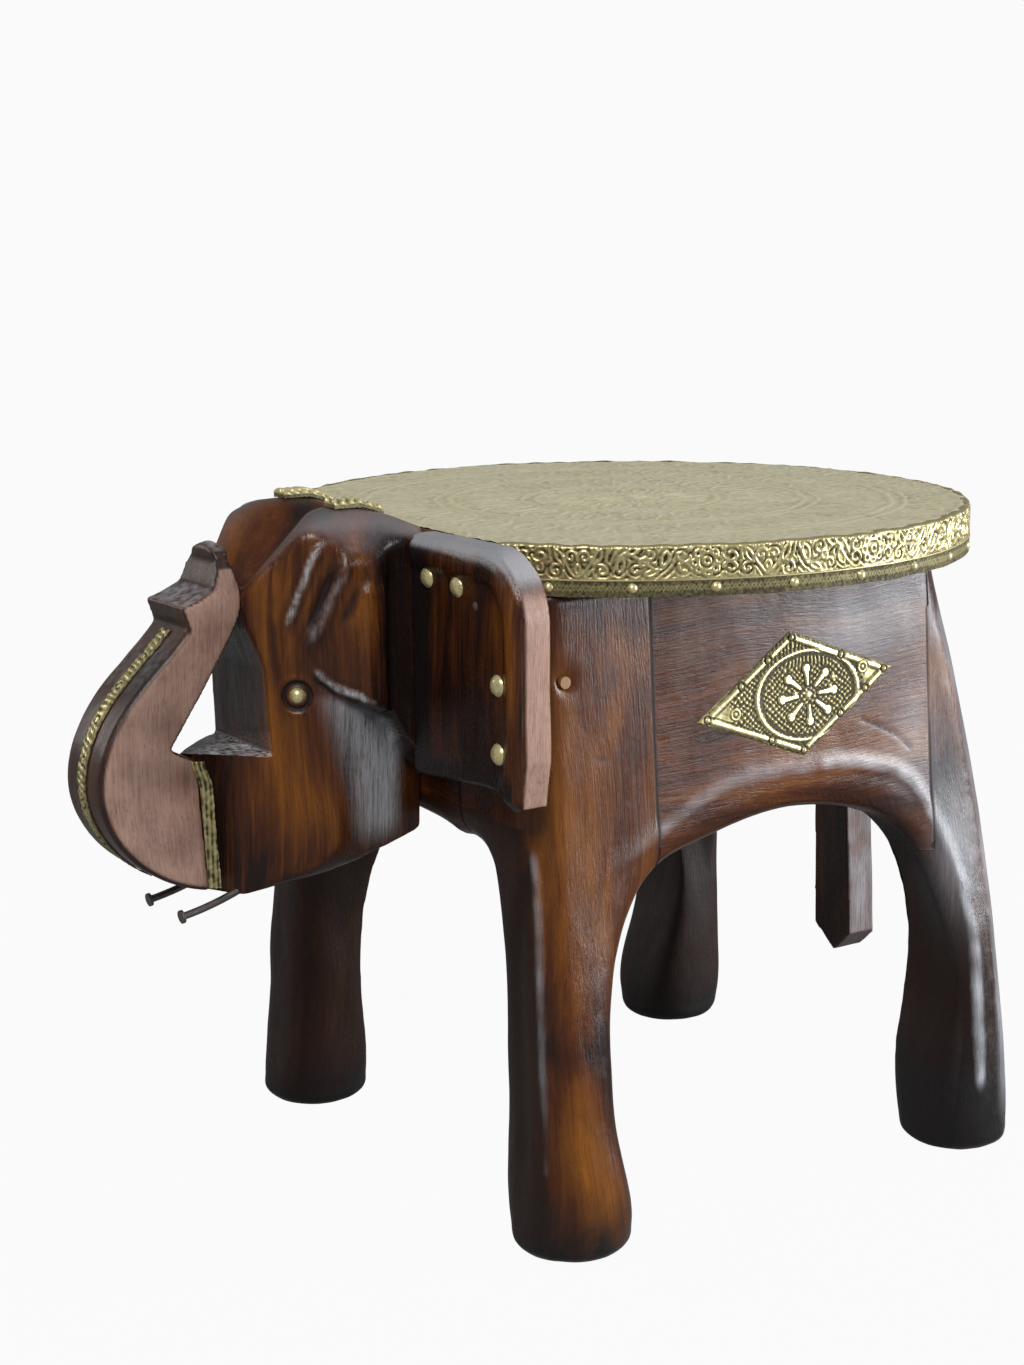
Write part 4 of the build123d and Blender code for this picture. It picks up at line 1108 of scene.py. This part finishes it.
# ---------------------------------------------------------------- plaques
# Everything on a plaque is in millimetres from its middle, along Y and Z
PLAQUE_REACH = np.array((53.0, 26.75))
PLAQUE_CORNERS = PLAQUE_REACH * ((-1, 0), (0, 1), (1, 0), (0, -1))
PLAQUE_PINS = ((0, 0.4, 0.72), (0, 0.53), (0, 0.24, 0.55), (0, 0.34))
PLAQUE_LEAN = radians(6.4)
OVAL_MIDDLE, OVAL_REACH = np.array((5.5, -1.0)), np.array((27.0, 18.6))
OVAL_DOTS = (((0, 0), 1.9), ((-7.0, 1.0), 1.3), ((9.8, 0.2), 1.3), ((13.6, 6.0), 1.3), ((12.0, 2.6), 1.0))
CORNER_EYES = ((-33.0, -4.6), (35.5, 7.5))
PETALS = 8


def plaque_ground(flat, square):
    """Pebbles all over a plaque, upright ridges towards its top and plain tips at both ends."""
    lumps = flat_rows(*flat.T)
    bent = swayed(lumps, 6.0, 1.0, 4)
    pebbles = np.cos(bent[:, 0] * tau / 3.0) * np.cos(bent[:, 1] * tau / 2.6)
    upright = np.cos(bent[:, 0] * tau / 2.0)
    ground = pebbles + (upright - pebbles) * step(bent[:, 1], 9.0, 14.0)
    level = np.clip(0.24 + ground * 0.55 + noise(lumps, 2.0, 2) * 0.25, 0, 0.8)
    return level + (0.48 + noise(lumps, 5.0, 7) * 0.35 - level) * step(np.abs(square[:, 0]), 34.0, 37.0)


def plaque_border(level, square):
    """Adds the bars along a plaque's edges and the hollows round the pins between them."""
    for number, shares in enumerate(PLAQUE_PINS):
        start, end = PLAQUE_CORNERS[number] * 0.9, PLAQUE_CORNERS[(number + 1) % 4] * 0.9
        edge = end - start
        spare = edge / np.linalg.norm(edge) * 2.6
        for first, last in zip(shares, (*shares[1:], 1)):
            gap = away_from(square, np.array((start + first * edge + spare, start + last * edge - spare)))
            level[(gap > 1.2) & (gap < 2.0)] *= 0.4
            level = np.maximum(level, on_line(gap, 1.15))
            pin = np.hypot(*(square - start - first * edge).T)
            level[(pin > 1.3) & (pin < 2.1)] = 0.05
    return level


def plaque_flower(level, around):
    """Adds the club-shaped petals and the dots inside a plaque's oval."""
    for number in range(PETALS):
        angle = tau / 4 - number * tau / PETALS + radians(3)
        facing = np.array((cos(angle) * 1.25, sin(angle)))
        share = np.clip((around @ facing) / (facing @ facing) / 11, 0, 1)
        stem = away_from(around, np.array((facing * 4.6, facing * 10.5))) - (0.25 + 0.8 * share)
        club = np.hypot(*(around - facing * 11.2).T) - 1.75
        petal = np.minimum(stem, club)
        level[(petal > 0.35) & (petal < 1.1)] = 0.05
        level = np.maximum(level, np.clip(1 - petal / 0.45, 0, 1))
    dots = [on_line(np.hypot(*(around - place).T), size) for place, size in OVAL_DOTS]
    return np.maximum.reduce([level, *dots])


def plaque_level(y, z):
    """Embossing of a plaque."""
    flat = np.stack([y, z], axis=1)
    turn = np.array(((cos(PLAQUE_LEAN), -sin(PLAQUE_LEAN)), (sin(PLAQUE_LEAN), cos(PLAQUE_LEAN))))
    square, around = flat @ turn, flat - OVAL_MIDDLE
    level = plaque_ground(flat, square)
    oval = np.hypot(*(around / OVAL_REACH).T)
    level[oval < 0.93] *= 0.85
    level[np.abs(oval - 0.91) < 0.035] = 0.1
    level[np.abs(oval - 1.09) < 0.035] *= 0.4
    from_edge = 1 - np.abs(square / PLAQUE_REACH).sum(axis=1)
    border = step(from_edge, 0.13, 0.09) * (0.35 + noise(flat_rows(y, z), 9.0, 6) * 0.2)
    level = np.maximum.reduce([level, on_line(oval - 1, 0.045), border])
    level = plaque_flower(plaque_border(level, square), around)
    for place in CORNER_EYES:
        gap = np.hypot(*(flat - place).T)
        level[gap < 3.0] = 0.15
        level = np.maximum.reduce([level, on_line(gap - 2.1, 0.6), on_line(gap, 1.1) * 0.8])
    return level


class STOOL_OT_plaques(bpy.types.Operator):
    """Embosses the diamond plaques on the flanks"""
    bl_idname = "stool.plaques"
    bl_label = "Plaques"

    def execute(self, context):
        relief = context.scene.stool_carving.relief
        material = embossed_brass("plaque_brass", context.scene.stool_finish)
        s, t = np.meshgrid(np.linspace(0, 1, 190), np.linspace(0, 1, 190))
        edge = np.minimum.reduce([s, 1 - s, t, 1 - t]).ravel()
        for side, node in ((1, "left_plaque"), (-1, "right_plaque")):
            shell = points_of(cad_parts[node].data)
            rear, front = shell[shell[:, 1].argmax()], shell[shell[:, 1].argmin()]
            top, bottom = shell[shell[:, 2].argmax()], shell[shell[:, 2].argmin()]
            middle = (front + rear + top + bottom) / 4
            curve = np.polyfit(shell[:, 2], np.abs(shell[:, 0]), 2)
            outer = (np.abs(shell[:, 0]) - np.polyval(curve, shell[:, 2])).max()
            flat = front + s[..., None] * (top - front) + t[..., None] * (bottom - front)
            y, z = flat[..., 1].ravel(), flat[..., 2].ravel()
            grainy = flat_rows(y, z)
            level = plaque_level((y - middle[1]) / MM, (z - middle[2]) / MM)
            level = np.clip(level + noise(grainy, 1.2 * MM, 5) * 0.1, 0, 1)
            rise = (level - 0.45) * relief + noise(grainy, 22 * MM, 9 + side) * 0.25 * MM
            rise -= np.clip(1 - edge / 0.012, 0, 1) * 0.9 * MM
            points = np.column_stack([side * (np.polyval(curve, z) + outer + rise), y, z])
            piece = grid_piece("embossed_" + node, points.reshape(*s.shape, 3))
            marked(piece.data, relief=level)
            finished(piece, material, "brass", node)
        return {"FINISHED"}


# ---------------------------------------------------------------- strips
def strip_piece(context, node, pattern, material):
    """A brass strip from its node. The pattern gives its places, its level and where it faces outwards."""
    piece = carving_block("embossed_" + node, (node,), 0.25 * MM, 1)
    mesh = piece.data
    outward = directions_of(mesh)
    places, level, outer = pattern(points_of(mesh), outward)
    rise = np.where(outer, (level - 0.35) * context.scene.stool_carving.relief * 0.8, 0)
    put(mesh, places + outward * rise[:, None])
    marked(mesh, relief=np.where(outer, level, 0.2))
    return finished(piece, material, "brass", node)


def belly_pattern(points, outward):
    """A narrow line of worn beads with nail heads, along the curve of the trunk's belly."""
    spoke = points - np.array((0, -144, 200)) * MM
    along = np.arctan2(spoke[:, 2], -spoke[:, 1]) * 62
    across = points[:, 0] / MM
    beads = np.cos(along * tau / 3.0 + noise(points, 9 * MM, 3) * 4 + across * 0.5)
    level = 0.30 + 0.42 * np.exp(-(across / 3.6) ** 2) * (1 + beads) + noise(points, 1.8 * MM, 4) * 0.45
    nail = np.hypot((along + 5) % 17 - 8.5, across)
    level *= np.clip(3.2 - np.abs(across) / 2.2, 0.3, 1)
    level = np.where(nail < 2.2, np.where(nail < 1.3, 1, 0.05), level)
    level *= 1 - 0.45 * step(points[:, 2] / MM, 185, 160)
    return points * (0.72, 1, 1), np.clip(level, 0, 1), np.einsum("ij,ij->i", outward, spoke) > 0


def seam_pattern(points, outward):
    """Bright and dark lengths beside the joint of trunk and jaw."""
    side = outward[:, 0] * np.sign(points[:, 0]) > 0.3
    height, front = points[:, 2] / MM, points[:, 1].min()
    along = height + noise(points, 14 * MM, 5) * 3
    across = (points[:, 1] - front) / MM
    lengths = np.cos(along * tau / 9.5 + across * 0.5) + 0.45 * np.cos(along * tau / 3.1 - across * 0.8)
    level = 0.4 + lengths * 0.13 + 0.22 * np.cos(across * tau / 2.6) + noise(points, 2.2 * MM, 6) * 0.22
    places = points.copy()
    places[:, 1] = front + (points[:, 1] - front) * 0.64 - step(height, 190, 201) * 2.6 * MM
    places[:, 2] = np.maximum(points[:, 2], points[:, 2].min() + 2 * MM)
    return places, np.clip(level, 0, 1), side


def rope_pattern(points, outward):
    """Twisted rope laid over the crown."""
    along, across = points[:, 1] / MM, np.abs(points[:, 0]) / MM - 21
    twist = 0.5 + 0.5 * np.cos((along + across * 0.7) * tau / 4.1 + noise(points, 8 * MM, 2))
    level = np.clip(twist * 1.2 * on_line(across, 4.6) + noise(points, 1.2 * MM, 7) * 0.15, 0, 1)
    up = outward[:, 2] > 0.2
    places = points + np.where(up, (0.3 + level) * 1.3 * MM, 0)[:, None] * (0, 0, 1)
    return places, level * 0.7 + 0.3, up


class STOOL_OT_strips(bpy.types.Operator):
    """Embosses the brass strips on trunk, jaw and crown"""
    bl_idname = "stool.strips"
    bl_label = "Strips"

    def execute(self, context):
        finish = context.scene.stool_finish
        worn = embossed_brass("strip_brass", finish, shade=0.9, polish=0.34)
        bright = embossed_brass("rope_brass", finish, shade=1.1, polish=0.26, shine=0.6)
        strip_piece(context, "trunk_strip", belly_pattern, worn)
        for side in ("left", "right"):
            strip_piece(context, side + "_seam_strip", seam_pattern, worn)
            strip_piece(context, side + "_crown_strip", rope_pattern, bright)
        return {"FINISHED"}


# ---------------------------------------------------------------- fixings
class STOOL_OT_fixings(bpy.types.Operator):
    """Finishes studs, pins, tacks, nails, tusks, pegs, dowels, screws and the seat board"""
    bl_idname = "stool.fixings"
    bl_label = "Fixings"

    def execute(self, context):
        finish = context.scene.stool_finish
        kinds = {("stud", "pin", "tack"): dome_brass("stud_brass", finish),
                 ("nail", "tusk", "screw"): old_steel("nail_steel", finish),
                 ("peg", "dowel"): bare_wood("peg_wood", finish.pale_wood),
                 ("board",): bare_wood("board_wood", finish.board_wood)}
        for name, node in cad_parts.items():
            for words, material in kinds.items():
                if any(word in name for word in words):
                    for slot in node.material_slots:
                        slot.material = material
        return {"FINISHED"}


# ---------------------------------------------------------------- stage
# The camera's turn, height and roll in degrees, its place in metres and its lens in millimetres
VIEW_TURN, VIEW_RISE, VIEW_ROLL = 56.6876, 11.2665, -0.5499
VIEW_PLACE = (0.89072, -0.59015, 0.42340)
VIEW_LENS, VIEW_SENSOR = 65.93, 36
# Directions on the floor away from the camera and across its view
FLOOR_BACK, FLOOR_ACROSS = np.array((-0.8196, 0.5386)), np.array((0.5407, 0.8412))
BACKDROP_START, BACKDROP_BEND = 2.2, 1.4
LOOK_AT = Vector((0, 0, 0.15))
# Lamps as (name, place, size, watts, colour)
LAMPS = (("key", (1.9, -1.7, 2.5), (1.2, 1.2), 68, (1.0, 0.98, 0.95)),
         ("window", (1.5, 1.85, 0.55), (0.95, 1.0), 64, (0.92, 0.96, 1.0)),
         ("fill", (-2.2, -1.6, 1.0), (1.0, 1.0), 11, (1.0, 0.97, 0.93)))


class STOOL_OT_stage(bpy.types.Operator):
    """Lays the floor, hangs the lamps and sets the camera"""
    bl_idname = "stool.stage"
    bl_label = "Stage"

    def execute(self, context):
        self.floor(context)
        self.lamps(context)
        self.camera(context)
        return {"FINISHED"}

    def floor(self, context):
        """A pale floor that bends up into a backdrop. It shows white, and keeps the stool's shadow."""
        turn = np.linspace(0.1, pi / 2, 14)
        depth = np.concatenate([np.linspace(-4, BACKDROP_START, 12),
                                BACKDROP_START + BACKDROP_BEND * np.sin(turn),
                                np.full(8, BACKDROP_START + BACKDROP_BEND)])
        rise = np.concatenate([np.zeros(12), BACKDROP_BEND * (1 - np.cos(turn)), np.linspace(1.8, 5, 8)])
        side = np.linspace(-5, 5, 12)
        points = np.zeros((len(depth), len(side), 3))
        points[..., :2] = depth[:, None, None] * FLOOR_BACK + side[None, :, None] * FLOOR_ACROSS
        points[..., 2] = rise[:, None]
        floor = grid_piece("floor", points)
        floor.data.shade_smooth()
        r = Recipe("pale_floor")
        diffuse = r.add("ShaderNodeBsdfDiffuse", None, {"Color": (*context.scene.stool_finish.floor, 1)})
        white = r.add("ShaderNodeEmission", None, {"Color": (1, 1, 1, 1), "Strength": 1.0})
        camera, glossy, transmission = [r.add("ShaderNodeLightPath", output=number) for number in (0, 3, 6)]
        share = (camera * 0.95 + glossy * 0.1 + transmission * 0.93).clamped()
        mixed = r.add("ShaderNodeMixShader", None, {0: share, 1: diffuse, 2: white})
        r.add("ShaderNodeOutputMaterial", None, {"Surface": mixed})
        floor.data.materials.append(r.material)

    def lamps(self, context):
        """A soft, dim room that shows white beyond the floor, and three area lamps."""
        world = bpy.data.worlds.new("studio")
        world.use_nodes = True
        nodes, link = world.node_tree.nodes, world.node_tree.links.new
        soft, white = nodes["Background"], nodes.new("ShaderNodeBackground")
        soft.inputs["Color"].default_value = (0.93, 0.95, 1.0, 1)
        soft.inputs["Strength"].default_value = 0.24
        white.inputs["Color"].default_value = (1, 1, 1, 1)
        mixed = nodes.new("ShaderNodeMixShader")
        link(nodes.new("ShaderNodeLightPath").outputs["Is Camera Ray"], mixed.inputs[0])
        link(soft.outputs[0], mixed.inputs[1])
        link(white.outputs[0], mixed.inputs[2])
        link(mixed.outputs[0], nodes["World Output"].inputs["Surface"])
        context.scene.world = world
        for name, place, size, watts, shade in LAMPS:
            light = bpy.data.lights.new(name, "AREA")
            light.shape, light.energy, light.color = "RECTANGLE", watts, shade
            light.size, light.size_y = size
            lamp = bpy.data.objects.new(name, light)
            lamp.location = place
            lamp.rotation_euler = (LOOK_AT - lamp.location).to_track_quat("-Z", "Y").to_euler()
            context.scene.collection.objects.link(lamp)

    def camera(self, context):
        """The view from the front left, a little above the seat."""
        turn, rise, roll = map(radians, (VIEW_TURN, VIEW_RISE, VIEW_ROLL))
        back = Vector((sin(turn) * cos(rise), -cos(turn) * cos(rise), sin(rise)))
        right = (-back).cross(Vector((0, 0, 1))).normalized()
        up = right.cross(-back)
        right, up = cos(roll) * right + sin(roll) * up, cos(roll) * up - sin(roll) * right
        view = Matrix((right, up, back)).transposed().to_4x4()
        view.translation = VIEW_PLACE
        lens = bpy.data.cameras.new("camera")
        lens.lens, lens.sensor_width, lens.clip_start = VIEW_LENS, VIEW_SENSOR, 0.02
        camera = bpy.data.objects.new("camera", lens)
        camera.matrix_world = view
        context.scene.collection.objects.link(camera)
        context.scene.camera = camera
        context.scene.view_settings.view_transform = "Standard"


# ---------------------------------------------------------------- panel
class STOOL_PT_panel(bpy.types.Panel):
    """Sizes, colours and pieces of the elephant stool"""
    bl_idname = "STOOL_PT_panel"
    bl_label = "Elephant Stool"
    bl_space_type = "VIEW_3D"
    bl_region_type = "UI"
    bl_category = "Elephant Stool"

    def draw(self, context):
        for settings in (context.scene.stool_carving, context.scene.stool_finish):
            box = self.layout.box()
            for name in settings.__annotations__:
                box.prop(settings, name)
        for operator in OPERATORS:
            self.layout.operator(operator.bl_idname)


OPERATORS = (STOOL_OT_stage, STOOL_OT_body, STOOL_OT_head, STOOL_OT_trunk, STOOL_OT_ears, STOOL_OT_tail,
             STOOL_OT_seat_sheet, STOOL_OT_rim_band, STOOL_OT_trim, STOOL_OT_plaques, STOOL_OT_strips,
             STOOL_OT_fixings)
CLASSES = (STOOL_PG_carving, STOOL_PG_finish, *OPERATORS, STOOL_PT_panel)


def register():
    for cls in CLASSES:
        bpy.utils.register_class(cls)
    bpy.types.Scene.stool_carving = bpy.props.PointerProperty(type=STOOL_PG_carving)
    bpy.types.Scene.stool_finish = bpy.props.PointerProperty(type=STOOL_PG_finish)


def unregister():
    del bpy.types.Scene.stool_finish
    del bpy.types.Scene.stool_carving
    for cls in reversed(CLASSES):
        bpy.utils.unregister_class(cls)


def main():
    register()
    for operator in OPERATORS:
        group, name = operator.bl_idname.split(".")
        getattr(getattr(bpy.ops, group), name)()


if __name__ == "__main__":
    main()
